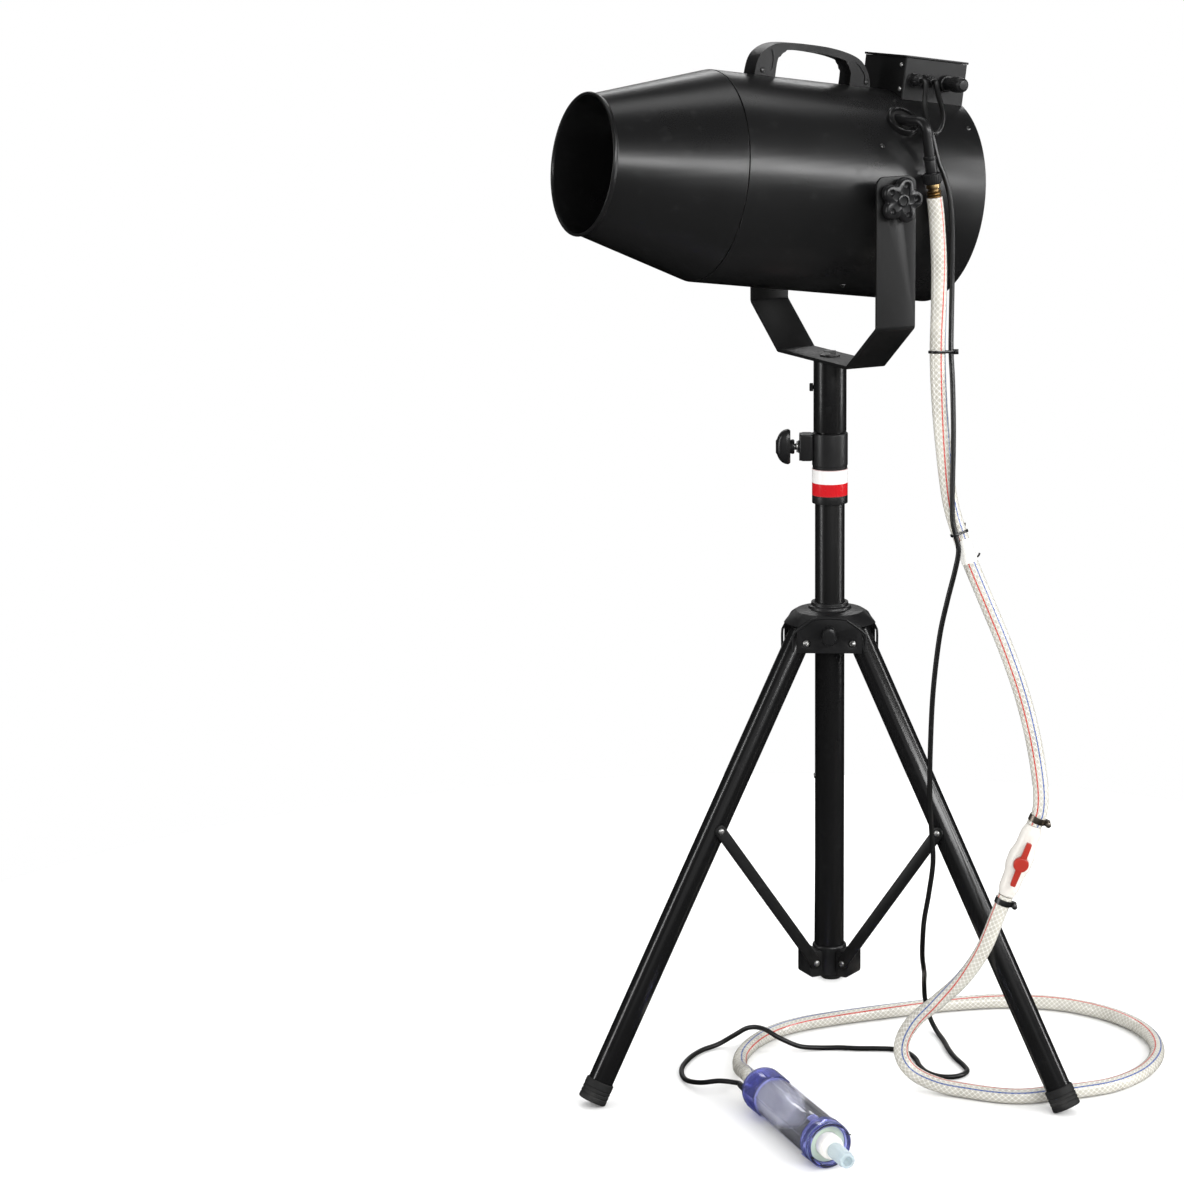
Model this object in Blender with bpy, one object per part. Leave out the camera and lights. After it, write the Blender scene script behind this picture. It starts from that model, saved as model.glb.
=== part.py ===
"""Foam machine on a folding tripod stand, as separate pieces, in metres with +Z up.

The nozzle points along -X. The hose, glands and inlet are on the -Y side. The mast stands on the axis of
the stand frame, which is moved at the end so that the machine's own box is centred over the origin.
"""

import math

import bmesh
import bpy
from mathutils import Matrix, Vector

GAP = 0.0003             # between pieces that touch
PIN_PLAY = 0.0005        # round a bolt or stud, on its radius
SLIDE_PLAY = 0.0003      # between telescoping tubes, on the radius

# Column and mast
COLUMN_D = 0.035
COLUMN_WALL = 0.0017
COLUMN_BOTTOM = 0.119
COLUMN_TOP = 0.740
MAST_WALL = 0.0015
MAST_BOTTOM = 0.250
MAST_SEAT = 0.012        # from the mast's top end up to the yoke's base

# Clamp collar at the column's top
COLLAR_D = 0.042
COLLAR_BOTTOM = 0.695
CLAMP_TOP = 0.7785
BAND_BOTTOM = 0.7045
BAND_HEIGHT = 0.0315
BAND_THICK = 0.0006
LUG_TURN = math.radians(150.5)
LUG_REACH = 0.036
LUG_WIDTH = 0.022
LUG_HEIGHT = 0.031
LUG_MID_Z = 0.7615

# Yoke
YOKE_WIDTH = 0.300
YOKE_BASE = 0.165
YOKE_BAR = 0.050
YOKE_THICK = 0.004
YOKE_BASE_Z = 0.865      # underside of the base
YOKE_SLANT = 0.0525      # height of the slanting part
YOKE_ABOVE = 0.026       # arm above the tilt axis
YOKE_CORNER = 0.010
TILT_Z = 1.063
SOCKET_D = 0.0387
SOCKET_LENGTH = 0.085
SOCKET_CAP = 0.005
SOCKET_SCREW_Z = 0.832
BASE_BOLT_D = 0.010

# Barrel, measured along its axis from the tilt axis, rearwards positive
TILT_REST = math.radians(8.0)
BARREL_D = 0.240
BARREL_WALL = 0.0015
SEAM_X = -0.172
REAR_X = 0.135
MOUTH_X = -0.320
MOUTH_D = 0.156
RIM_BEAD = 0.0015
CONE_LAP = 0.014
STUD_D = 0.010
STUD_BOSS_D = 0.024
KNOB_D = 0.052
KNOB_LOBE = 0.0045
KNOB_LOBES = 5
KNOB_THICK = 0.016

# Inside the barrel
MOTOR_D = 0.090
MOTOR_FRONT = -0.012
MOTOR_LENGTH = 0.085
BRACKET_THICK = 0.012
BRACKET_BACK = 0.005       # from the motor's front end to the bracket's
BRACKET_ARM = 0.014
SHAFT_D = 0.010
FAN_D = 0.190
FAN_FRONT = -0.058
FAN_DEPTH = 0.030
FAN_HUB_D = 0.044
FAN_BLADES = 5
BLADE_CHORD = 0.050
BLADE_THICK = 0.0025
BLADE_PITCH = math.radians(32)
SCREEN_X = -0.166
SCREEN_THICK = 0.0015
SCREEN_RIBS = 10
GUARD_THICK = 0.003
GUARD_INSET = 0.004
PIPE_D = 0.008
PIPE_SIDE = -0.0655       # where the pipe runs forward inside the shell
PIPE_UP = 0.0860
SPRAY_X = -0.105

# Handle and control box on the shell
HANDLE_FRONT = -0.124
HANDLE_LENGTH = 0.153
HANDLE_TOP = BARREL_D / 2 + 0.040
HANDLE_BAR = 0.0115
HANDLE_LEG = 0.028
HANDLE_WIDTH = 0.026
BOX_FRONT = 0.052
BOX_LENGTH = 0.082
BOX_WIDTH = 0.094
BOX_BOTTOM = BARREL_D / 2 - 0.015
BOX_TOP = BARREL_D / 2 + 0.038
BOX_WALL = 0.002
LID_THICK = 0.0025
LID_OVER = 0.0015
GLAND_UP = BARREL_D / 2 + 0.014
GLAND_D = 0.015
GLAND_X = (0.0640, 0.0805)
SOCKET_X = 0.1065
GLAND_REACH = 0.018
SOCKET_REACH = 0.042
PORT_X = 0.034
PORT_TURN = math.radians(45.4)
PORT_D = 0.040
PORT_BORE = 0.030
PORT_HEIGHT = 0.0065
RIVET_D = 0.003
RIVET_HEAD_D = 0.0062
RIVET_DEPTH = 0.006
BRACKET_RIVET_TURN = math.radians(28)
GUARD_RIVET_TURN = math.radians(46)
GUARD_RIVET_BACK = 0.012

# Hub and legs
LEG_TURNS = {"front": math.radians(180), "near": math.radians(300), "far": math.radians(60)}
BRACE_SIDES = {"front": 1, "near": -1, "far": 1}
LEG_D = 0.030
LEG_WALL = 0.0015
LEG_ABOVE = 0.012
SPREAD = math.radians(27.85)
HUB_PIVOT_R = 0.0431
HUB_PIVOT_Z = 0.533
HUB_FACE_R = 0.040
HUB_ROUND_R = 0.0600
HUB_BOTTOM = 0.5215
HUB_EDGE_Z = 0.5505
HUB_ROOF_Z = 0.566
HUB_RING_D = 0.044
HUB_TOP = 0.576
HUB_SLOT_TOP = 0.5535
HUB_KNOB_Z = 0.541
LEG_BOLT_D = 0.006
FOOT_D = 0.034
FOOT_LENGTH = 0.026
FOOT_SOLE = 0.004
FOOT_FLAT = 0.002

# Braces and the bracket at the column's foot
BRACE_DOWN_LEG = 0.243
BRACE_WIDTH = 0.014
BRACE_THICK = 0.003
BRACKET_PIVOT_R = 0.028
BRACKET_PIVOT_Z = 0.135
BRACKET_D = 0.041
BRACKET_BOTTOM = 0.114
BRACKET_TOP = 0.152
BRACE_PIN_D = 0.005
BRACE_HEAD_D = 0.0075

# Feed line
HOSE_D = 0.018
CABLE_D = 0.006
LEAD_D = 0.006
TAIL_D = 0.014
TAIL_LENGTH = 0.015
ELBOW_D = 0.012
ELBOW_TURN = math.radians(48.92)
ELBOW_IN = BARREL_D / 2 - 0.00327        # where the elbow starts, inside the shell
ELBOW_START = Vector((0.0289, -math.cos(ELBOW_TURN) * ELBOW_IN, math.sin(ELBOW_TURN) * ELBOW_IN))
BESIDE = -BARREL_D / 2                   # the shell's near side, which the hose and cable hang past
ELBOW_CORNER = Vector((0.0471, BESIDE - 0.0135, 1.1462))     # from the mast's axis at floor level
ELBOW_DOWN = Vector((0.1385, 0, -0.9904)).normalized()
ELBOW_DROP = 0.0583
ELBOW_NUT_D = 0.021
ELBOW_NUT = 0.012
TIES = (0.8866, 0.6816)
VALVE_D = 0.024
VALVE_BALL_D = 0.030
VALVE_LENGTH = 0.070
LEVER_LENGTH = 0.054
LEVER_WIDTH = 0.007
STEM_D = 0.010
PUMP_D = 0.054
PUMP_LENGTH = 0.200
PUMP_WALL = 0.002
PUMP_SPOUT = 0.050
PUMP_REAR = Vector((-0.1495, -0.1000, PUMP_D / 2))
PUMP_YAW = math.radians(-95.6)
PUMP_AHEAD = Vector((math.cos(PUMP_YAW), math.sin(PUMP_YAW), 0))
PUMP_INLET_D = 0.021
PUMP_INLET_REACH = 0.012
PUMP_SLEEVE_D = 0.0085
PUMP_SLEEVE_OUT = 0.020      # of the cable sleeve from the pump's axis
PUMP_SLEEVE_REACH = 0.014

# Fold: the brace and the leg meet on the same line when the legs hang straight
LEG_REACH = HUB_PIVOT_R + BRACE_DOWN_LEG * math.sin(SPREAD)
LEG_DROP = HUB_PIVOT_Z - BRACE_DOWN_LEG * math.cos(SPREAD)
BRACE_LENGTH = math.hypot(LEG_REACH - BRACKET_PIVOT_R, LEG_DROP - BRACKET_PIVOT_Z)
BRACE_LEAN = math.atan2(LEG_REACH - BRACKET_PIVOT_R, LEG_DROP - BRACKET_PIVOT_Z)

COLUMN_R = COLUMN_D / 2
MAST_R = COLUMN_R - COLUMN_WALL - SLIDE_PLAY
BARREL_R = BARREL_D / 2
INNER_R = BARREL_R - BARREL_WALL
TILT_AT = Vector((0, 0, TILT_Z))

PUMP_BACK = PUMP_REAR - PUMP_AHEAD * (PUMP_INLET_REACH + GAP)
PUMP_ASIDE = Vector((-PUMP_AHEAD.y, PUMP_AHEAD.x, 0))
SLEEVE_END = PUMP_REAR - PUMP_ASIDE * PUMP_SLEEVE_OUT - PUMP_AHEAD * (PUMP_SLEEVE_REACH + GAP)
HOSE_TOP = ELBOW_CORNER + ELBOW_DOWN * (ELBOW_DROP + ELBOW_NUT + TAIL_LENGTH + 2 * GAP)

# Cords, as points by hand from the mast's axis at floor level, after the piece that each one leaves
HOSE_HANG = [
    (0.0634, BESIDE - 0.0135, 1.0230), (0.0648, BESIDE - 0.0150, 0.9850),
    (0.0628, BESIDE - 0.0185, 0.9400), (0.0592, BESIDE - 0.0225, 0.8866),
    (0.0588, BESIDE - 0.0278, 0.8323), (0.0600, BESIDE - 0.0360, 0.7758),
    (0.0635, -0.1650, 0.7190), (0.0700, -0.1752, 0.6816), (0.0800, -0.1860, 0.6450),
    (0.0930, -0.1990, 0.6030), (0.1075, -0.2160, 0.5530), (0.1205, -0.2315, 0.5000),
    (0.1285, -0.2455, 0.4463), (0.1325, -0.2550, 0.3950),
]
VALVE_TOP = Vector((0.1253, -0.2546, 0.3485))
VALVE_END = Vector((0.0972, -0.2400, 0.2640))
HOSE_FLOOR = [
    (0.0905, -0.2362, 0.2430), (0.0775, -0.2245, 0.1970), (0.0655, -0.2000, 0.1560),
    (0.0520, -0.1680, 0.1210), (0.0375, -0.1410, 0.0920), (0.0295, -0.1260, 0.0650),
    (0.0300, -0.1230, 0.0410), (0.0400, -0.1340, 0.0220), (0.0600, -0.1580, 0.0115),
    (0.0860, -0.1890, 0.0092), (0.1120, -0.2180, 0.0092), (0.1365, -0.2320, 0.0092),
    (0.1650, -0.2370, 0.0092), (0.2010, -0.2450, 0.0092), (0.2455, -0.2475, 0.0092),
    (0.2910, -0.2340, 0.0092), (0.3300, -0.2080, 0.0092), (0.3590, -0.1760, 0.0092),
    (0.3790, -0.1370, 0.0092), (0.3880, -0.0960, 0.0092), (0.3860, -0.0550, 0.0092),
    (0.3740, -0.0160, 0.0092), (0.3520, 0.0200, 0.0092), (0.3210, 0.0480, 0.0092),
    (0.2840, 0.0690, 0.0092), (0.2420, 0.0830, 0.0092), (0.1980, 0.0930, 0.0092),
    (0.1240, 0.1035, 0.0092), (0.0650, 0.1095, 0.0092), (0.0190, 0.1100, 0.0092),
    (-0.0230, 0.1000, 0.0092), (-0.0630, 0.0770, 0.0092), (-0.0980, 0.0430, 0.0096),
    (-0.1220, 0.0020, 0.0130), (-0.1350, -0.0340, 0.0205), (-0.1435, -0.0610, 0.0265),
]
PUMP_LINE = [
    (0.0795, BESIDE + 0.0410, 1.1810), (0.0725, BESIDE + 0.0310, 1.1680),
    (0.0660, BESIDE + 0.0200, 1.1560), (0.0625, BESIDE + 0.0080, 1.1410),
    (0.0648, BESIDE + 0.0020, 1.1290), (0.0694, BESIDE - 0.0040, 1.1017),
    (0.0745, BESIDE - 0.0080, 1.0850), (0.0792, BESIDE - 0.0110, 1.0660),
    (0.0818, BESIDE - 0.0130, 1.0440), (0.0823, BESIDE - 0.0150, 1.0116),
    (0.0800, BESIDE - 0.0185, 0.9600), (0.0755, BESIDE - 0.0250, 0.9150),
    (0.0722, BESIDE - 0.0305, 0.8866), (0.0700, BESIDE - 0.0380, 0.8500),
    (0.0655, BESIDE - 0.0480, 0.7950),
    (0.0600, -0.1760, 0.7350), (0.0575, -0.1810, 0.7000), (0.0595, -0.1850, 0.6816),
    (0.0615, -0.1880, 0.6640), (0.0580, -0.1860, 0.6400), (0.0520, -0.1800, 0.6050),
    (0.0460, -0.1735, 0.5620), (0.0410, -0.1690, 0.5000), (0.0395, -0.1665, 0.4400),
    (0.0400, -0.1645, 0.3800), (0.0440, -0.1628, 0.3272), (0.0480, -0.1600, 0.2900),
    (0.0470, -0.1530, 0.2500), (0.0500, -0.1380, 0.2130), (0.0620, -0.1150, 0.1800),
    (0.0840, -0.0780, 0.1450), (0.1110, -0.0370, 0.1120), (0.1380, 0.0060, 0.0880),
    (0.1560, 0.0360, 0.0630), (0.1650, 0.0480, 0.0370), (0.1680, 0.0410, 0.0150),
    (0.1650, 0.0200, 0.0048), (0.1570, -0.0090, 0.0033), (0.1450, -0.0420, 0.0033),
    (0.1370, -0.0700, 0.0033), (0.1320, -0.0980, 0.0033), (0.1245, -0.1165, 0.0033),
    (0.1065, -0.1245, 0.0033), (0.0885, -0.1165, 0.0033), (0.0810, -0.0980, 0.0033),
    (0.0840, -0.0740, 0.0033), (0.0920, -0.0520, 0.0033), (0.0950, -0.0300, 0.0033),
    (0.0870, -0.0090, 0.0033), (0.0690, 0.0040, 0.0033), (0.0490, 0.0150, 0.0033),
    (0.0300, 0.0280, 0.0033), (0.0080, 0.0390, 0.0033), (-0.0160, 0.0460, 0.0070),
    (-0.0380, 0.0560, 0.0180), (-0.0540, 0.0700, 0.0285), (-0.0660, 0.0850, 0.0270),
    (-0.0790, 0.0970, 0.0160), (-0.0980, 0.1040, 0.0050), (-0.1250, 0.0980, 0.0033),
    (-0.1520, 0.0790, 0.0033), (-0.1770, 0.0500, 0.0033), (-0.1890, 0.0160, 0.0040),
    (-0.1870, -0.0180, 0.0110), (-0.1770, -0.0500, 0.0220),
]
FAN_LEAD = [
    (0.0950, BESIDE + 0.0430, 1.1800), (0.0925, BESIDE + 0.0340, 1.1690),
    (0.0925, BESIDE + 0.0270, 1.1580), (0.0905, BESIDE + 0.0210, 1.1470),
    (0.0855, BESIDE + 0.0160, 1.1375), (0.0785, BESIDE + 0.0120, 1.1316),
    (0.0700, BESIDE + 0.0105, 1.1310), (0.0620, BESIDE + 0.0120, 1.1355),
    (0.0560, BESIDE + 0.0165, 1.1410), (0.0520, BESIDE + 0.0250, 1.1420),
    (0.0500, BESIDE + 0.0340, 1.1400), (0.0490, BESIDE + 0.0400, 1.1385),
]


def clear_scene():
    for thing in list(bpy.data.objects):
        bpy.data.objects.remove(thing, do_unlink=True)


def finish(name, colour, roughness, metallic=0.0, alpha=1.0):
    made = bpy.data.materials.new(name)
    made.use_nodes = True
    shader = made.node_tree.nodes["Principled BSDF"]
    shader.inputs["Base Color"].default_value = (*colour, 1)
    shader.inputs["Roughness"].default_value = roughness
    shader.inputs["Metallic"].default_value = metallic
    shader.inputs["Alpha"].default_value = alpha
    return made


def frame(name, parent, place=(0, 0, 0), turn=(0, 0, 0)):
    made = bpy.data.objects.new(name, None)
    bpy.context.scene.collection.objects.link(made)
    made.empty_display_size = 0.03
    made.parent = parent
    made.location = place
    made.rotation_euler = turn
    return made


def solid(name, bm, parent, look):
    bmesh.ops.remove_doubles(bm, verts=bm.verts, dist=1e-6)
    bmesh.ops.recalc_face_normals(bm, faces=bm.faces)
    mesh = bpy.data.meshes.new(name)
    bm.to_mesh(mesh)
    bm.free()
    mesh.shade_smooth()
    mesh.set_sharp_from_angle(angle=math.radians(35))
    mesh.materials.append(look)
    made = bpy.data.objects.new(name, mesh)
    bpy.context.scene.collection.objects.link(made)
    made.parent = parent
    return made


def helper(bm, parent):
    """A cutter or a piece to join, left out of the model itself."""
    made = solid("helper", bm, parent, LOOKS["black_paint"])
    made.hide_render = True
    made.display_type = "WIRE"
    return made


def combine(made, bm, operation="DIFFERENCE"):
    modifier = made.modifiers.new(operation.lower(), "BOOLEAN")
    modifier.operation = operation
    modifier.solver = "EXACT"
    modifier.object = helper(bm, made.parent)
    return made


def along(axis, place=(0, 0, 0)):
    """A matrix that takes +Z to axis and the origin to place."""
    return Matrix.Translation(place) @ Vector(axis).to_track_quat("Z", "Y").to_matrix().to_4x4()


def turned(profile, sides=24, matrix=None, bm=None):
    """A solid of revolution about Z, from a closed outline of (radius, height) points."""
    bm = bm or bmesh.new()
    matrix = matrix or Matrix.Identity(4)
    rings = []
    for radius, height in profile:
        count = 1 if radius == 0 else sides
        turns = (2 * math.pi * k / sides for k in range(count))
        rings.append([
            bm.verts.new(matrix @ Vector((radius * math.cos(t), radius * math.sin(t), height)))
            for t in turns
        ])
    for low, high in zip(rings, rings[1:] + rings[:1]):
        if len(low) == 1 and len(high) == 1:
            continue
        for k in range(sides):
            corners = [low[k % len(low)], low[(k + 1) % len(low)]]
            corners += [high[(k + 1) % len(high)], high[k % len(high)]]
            bm.faces.new(list(dict.fromkeys(corners)))
    return bm


def rod(radius, low, high, sides=16, matrix=None, bm=None):
    return turned([(0, low), (radius, low), (radius, high), (0, high)], sides, matrix, bm)


def pipe(outer, inner, low, high, sides=24, matrix=None, bm=None):
    return turned([(outer, low), (outer, high), (inner, high), (inner, low)], sides, matrix, bm)


def block(size, centre=(0, 0, 0), matrix=None, bm=None):
    bm = bm or bmesh.new()
    matrix = matrix or Matrix.Identity(4)
    placed = matrix @ Matrix.Translation(centre) @ Matrix.Diagonal((*size, 1))
    bmesh.ops.create_cube(bm, size=1.0, matrix=placed)
    return bm


def slab(outline, low, high, matrix=None, bm=None):
    """A flat outline of (x, y) points, given thickness along Z."""
    bm = bm or bmesh.new()
    matrix = matrix or Matrix.Identity(4)
    bottom = [bm.verts.new(matrix @ Vector((x, y, low))) for x, y in outline]
    top = [bm.verts.new(matrix @ Vector((x, y, high))) for x, y in outline]
    bm.faces.new(bottom[::-1])
    bm.faces.new(top)
    for k in range(len(outline)):
        n = (k + 1) % len(outline)
        bm.faces.new([bottom[k], bottom[n], top[n], top[k]])
    return bm


def arc(centre, radius, start, end, steps):
    turns = (start + (end - start) * k / steps for k in range(steps + 1))
    return [(centre[0] + radius * math.cos(t), centre[1] + radius * math.sin(t)) for t in turns]


def soften(bm, width, picked):
    edges = [e for e in bm.edges if picked(e)]
    bmesh.ops.bevel(bm, geom=edges, offset=width, segments=2, affect="EDGES", profile=0.5)
    return bm


def smooth_route(points, step):
    """Points about one step apart on the smooth curve through the route's own points."""
    ends = [points[0] * 2 - points[1]], [points[-1] * 2 - points[-2]]
    pts = ends[0] + points + ends[1]
    fine = []
    for a, b, c, d in zip(pts, pts[1:], pts[2:], pts[3:]):
        for k in range(16):
            t = k / 16
            fine.append(0.5 * (2 * b + (c - a) * t + (2 * a - 5 * b + 4 * c - d) * t * t
                               + (3 * b - a - 3 * c + d) * t * t * t))
    fine.append(points[-1])
    length = sum((q - p).length for p, q in zip(fine, fine[1:]))
    count = max(2, round(length / step))
    route, done, want = [fine[0]], 0.0, length / count
    for p, q in zip(fine, fine[1:]):
        reach = (q - p).length
        while done + reach >= want - 1e-9 and len(route) < count:
            route.append(p + (q - p) * ((want - done) / reach))
            want += length / count
        done += reach
    return route + [fine[-1]]


def cord_route(points, diameter, spacing=2.5):
    """The cord's centre line, with both ends straight for one diameter."""
    points = [Vector(p) for p in points]
    route = smooth_route(points, spacing * diameter)
    for end, inward, spot in ((0, 1, 1), (-1, -2, -1)):
        straight = (points[inward] - points[end]).normalized() * diameter
        route.insert(spot, points[end] + straight)
    return route


def cord(name, route, diameter, parent, look):
    curve = bpy.data.curves.new(name, "CURVE")
    curve.dimensions = "3D"
    curve.bevel_depth = diameter / 2
    curve.bevel_resolution = 2
    curve.use_fill_caps = True
    spline = curve.splines.new("POLY")
    spline.points.add(len(route) - 1)
    for spot, place in zip(spline.points, route):
        spot.co = (*place, 1)
    curve.materials.append(look)
    made = bpy.data.objects.new(name, curve)
    bpy.context.scene.collection.objects.link(made)
    made.parent = parent
    return made


def crossing(route, place, normal):
    """Where a route first crosses a plane, and its direction there."""
    for a, b in zip(route, route[1:]):
        before, after = (a - place).dot(normal), (b - place).dot(normal)
        if before * after <= 0 and before != after:
            return a + (b - a) * (before / (before - after)), (b - a).normalized()


def rounded(corners, radius, steps=4):
    """A run of straight lines with its inner corners rounded off."""
    corners = [Vector(c) for c in corners]
    run = [corners[0]]
    for a, b, c in zip(corners, corners[1:], corners[2:]):
        first, second = (b - a).normalized(), (c - b).normalized()
        half = first.angle(second) / 2
        start = b - first * radius * math.tan(half)
        inward = (second - first).normalized()
        middle = b + inward * radius / math.cos(half)
        axis = first.cross(second).normalized()
        for k in range(steps + 1):
            turn = Matrix.Rotation(2 * half * k / steps, 3, axis)
            run.append(middle + turn @ (start - middle))
    return run + [corners[-1]]


def swept(run, radius, sides=12):
    """A round bar along a run of points."""
    bm = bmesh.new()
    ahead = (run[1] - run[0]).normalized()
    side = ahead.orthogonal().normalized()
    rings = []
    for k, here in enumerate(run):
        before = (here - run[k - 1]).normalized() if k else ahead
        after = (run[k + 1] - here).normalized() if k + 1 < len(run) else before
        way = (before + after).normalized()
        side = (side - way * side.dot(way)).normalized()
        across = way.cross(side)
        turns = (2 * math.pi * n / sides for n in range(sides))
        rings.append([
            bm.verts.new(here + (side * math.cos(t) + across * math.sin(t)) * radius) for t in turns
        ])
    bm.faces.new(rings[0][::-1])
    bm.faces.new(rings[-1])
    for low, high in zip(rings, rings[1:]):
        for k in range(sides):
            n = (k + 1) % sides
            bm.faces.new([low[k], low[n], high[n], high[k]])
    return bm


def pierced_disc(radii, turns, open_cell, thick, matrix):
    """A flat disc of ring and rib cells, with the cells left out where open_cell says so."""
    bm = bmesh.new()
    levels = []
    for height in (0, thick):
        rows = [
            [matrix @ Vector((r * math.cos(t), r * math.sin(t), height)) for t in turns]
            for r in radii
        ]
        levels.append([[bm.verts.new(place) for place in row] for row in rows])
    hearts = [bm.verts.new(matrix @ Vector((0, 0, height))) for height in (0, thick)]
    around, last = len(turns), len(radii) - 2

    def kept(i, k):
        return i < 0 or (i <= last and not open_cell(i, k % around))

    def wall(a, b):
        low, high = levels
        bm.faces.new([low[a[0]][a[1]], low[b[0]][b[1]], high[b[0]][b[1]], high[a[0]][a[1]]])

    for k in range(around):
        n = (k + 1) % around
        for heart, level in zip(hearts, levels):
            bm.faces.new([heart, level[0][k], level[0][n]])
        for i in range(-1, last + 1):
            if kept(i, k) != kept(i + 1, k):
                wall((i + 1, k), (i + 1, n))
            if i >= 0 and kept(i, k) != kept(i, k + 1):
                wall((i, n), (i + 1, n))
            if i >= 0 and kept(i, k):
                for level in levels:
                    bm.faces.new([level[i][k], level[i][n], level[i + 1][n], level[i + 1][k]])
    return bm


def wing_knob(name, parent, place, axis, reach, wide, thick, stud_r, stud_tip, look):
    """An oval wing grip on a stud that runs back to stud_tip, seen along its own axis."""
    turn = along(axis)
    turn = turn @ Matrix.Rotation(wing_upright(axis), 4, "Z")
    oval = [
        (reach / 2 * math.copysign(abs(math.cos(t)) ** 1.3, math.cos(t)), wide / 2 * math.sin(t))
        for t in (2 * math.pi * k / 20 for k in range(16))
    ]
    bm = slab(oval, thick * 0.25, thick, turn)
    made = solid(name, bm, parent, look)
    made.location = place
    combine_at(made, rod(wide * 0.42, 0, thick * 0.6, 12, along(axis)), place)
    combine_at(made, rod(stud_r, -stud_tip, thick * 0.5, 10, along(axis)), place)
    return made


def wing_upright(axis):
    """The turn about the axis that stands the wing's long way upright."""
    side = along(axis).to_3x3() @ Vector((1, 0, 0))
    across = along(axis).to_3x3() @ Vector((0, 1, 0))
    return math.atan2(across.z, side.z)


def combine_at(made, bm, place):
    combine(made, bm, "UNION")
    made.modifiers[-1].object.location = place


def build_stand(stand):
    black = LOOKS["black_paint"]
    rod_r = COLUMN_R - COLUMN_WALL
    column = pipe(COLUMN_R, rod_r, COLUMN_BOTTOM, COLUMN_TOP)
    solid("column_tube", column, stand, black)

    collar_r = COLLAR_D / 2
    groove_r = collar_r - BAND_THICK - GAP
    band_top = BAND_BOTTOM + BAND_HEIGHT
    profile = [
        (COLUMN_R + GAP, COLLAR_BOTTOM), (collar_r, COLLAR_BOTTOM),
        (collar_r, BAND_BOTTOM - GAP), (groove_r, BAND_BOTTOM - GAP),
        (groove_r, band_top + GAP), (collar_r, band_top + GAP),
        (collar_r, CLAMP_TOP), (MAST_R + GAP, CLAMP_TOP),
        (MAST_R + GAP, COLUMN_TOP + GAP), (COLUMN_R + GAP, COLUMN_TOP + GAP),
    ]
    clamp = solid("mast_clamp", turned(profile), stand, LOOKS["black_plastic"])
    outward = Vector((math.cos(LUG_TURN), math.sin(LUG_TURN), 0))
    lug_mid = (MAST_R + 0.0035 + LUG_REACH) / 2
    lug_turn = Matrix.Rotation(LUG_TURN, 4, "Z")
    lug_size = (LUG_REACH - MAST_R - 0.0035, LUG_WIDTH, LUG_HEIGHT)
    combine(clamp, block(lug_size, (lug_mid, 0, LUG_MID_Z), lug_turn), "UNION")
    stud_r = 0.004
    bore = rod(stud_r + PIN_PLAY, 0, 0.06, 12, along(outward, (0, 0, LUG_MID_Z)))
    combine(clamp, bore)
    band = pipe(collar_r, groove_r + GAP, BAND_BOTTOM, band_top)
    solid("label_band", band, stand, LOOKS["band"])
    knob_at = outward * (LUG_REACH + 0.0055) + Vector((0, 0, LUG_MID_Z))
    tip = LUG_REACH + 0.0055 - MAST_R - 2 * GAP
    wing_knob("mast_clamp_knob", stand, knob_at, outward, 0.042, 0.020, 0.018, stud_r, tip,
              LOOKS["black_plastic"])

    profile = [
        (0, BRACKET_BOTTOM), (BRACKET_D / 2, BRACKET_BOTTOM), (BRACKET_D / 2, BRACKET_TOP),
        (COLUMN_R + GAP, BRACKET_TOP), (COLUMN_R + GAP, COLUMN_BOTTOM - GAP),
        (0, COLUMN_BOTTOM - GAP),
    ]
    bracket = solid("lower_bracket", turned(profile), stand, LOOKS["black_plastic"])
    ear_end = BRACKET_PIVOT_R + BRACE_WIDTH / 2
    ear_start = COLUMN_R + 0.0015
    ear_half = LEG_D / 2 + GAP
    holes = bmesh.new()
    for leg, turn in LEG_TURNS.items():
        around = Matrix.Rotation(turn, 4, "Z")
        mid_z = (BRACKET_BOTTOM + BRACKET_TOP) / 2
        size = (ear_end - ear_start, 2 * ear_half, BRACKET_TOP - BRACKET_BOTTOM - 0.006)
        ear = block(size, ((ear_end + ear_start) / 2, 0, mid_z), around)
        combine(bracket, ear, "UNION")
        at = around @ along((0, 1, 0), (BRACKET_PIVOT_R, 0, BRACKET_PIVOT_Z))
        rod(BRACE_PIN_D / 2 + PIN_PLAY, -0.03, 0.03, 8, at, holes)
    combine(bracket, holes)


def build_mast(mast):
    top = YOKE_BASE_Z - MAST_SEAT
    bm = pipe(MAST_R, MAST_R - MAST_WALL, MAST_BOTTOM, top)
    solid("inner_mast", bm, mast, LOOKS["black_paint"])


def bar_outline(points, thick):
    """The outline of a bar bent along an open run of points, which are its outer side."""
    inner = []
    pts = [Vector((*p, 0)) for p in points]
    for k, here in enumerate(pts):
        before = (here - pts[k - 1]).normalized() if k else None
        after = (pts[k + 1] - here).normalized() if k + 1 < len(pts) else None
        first, second = before or after, after or before
        normals = [Vector((-d.y, d.x, 0)) for d in (first, second)]
        middle = (normals[0] + normals[1]).normalized()
        spot = here + middle * thick / middle.dot(normals[0])
        inner.append((spot.x, spot.y))
    return list(points) + inner[::-1]


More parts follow.
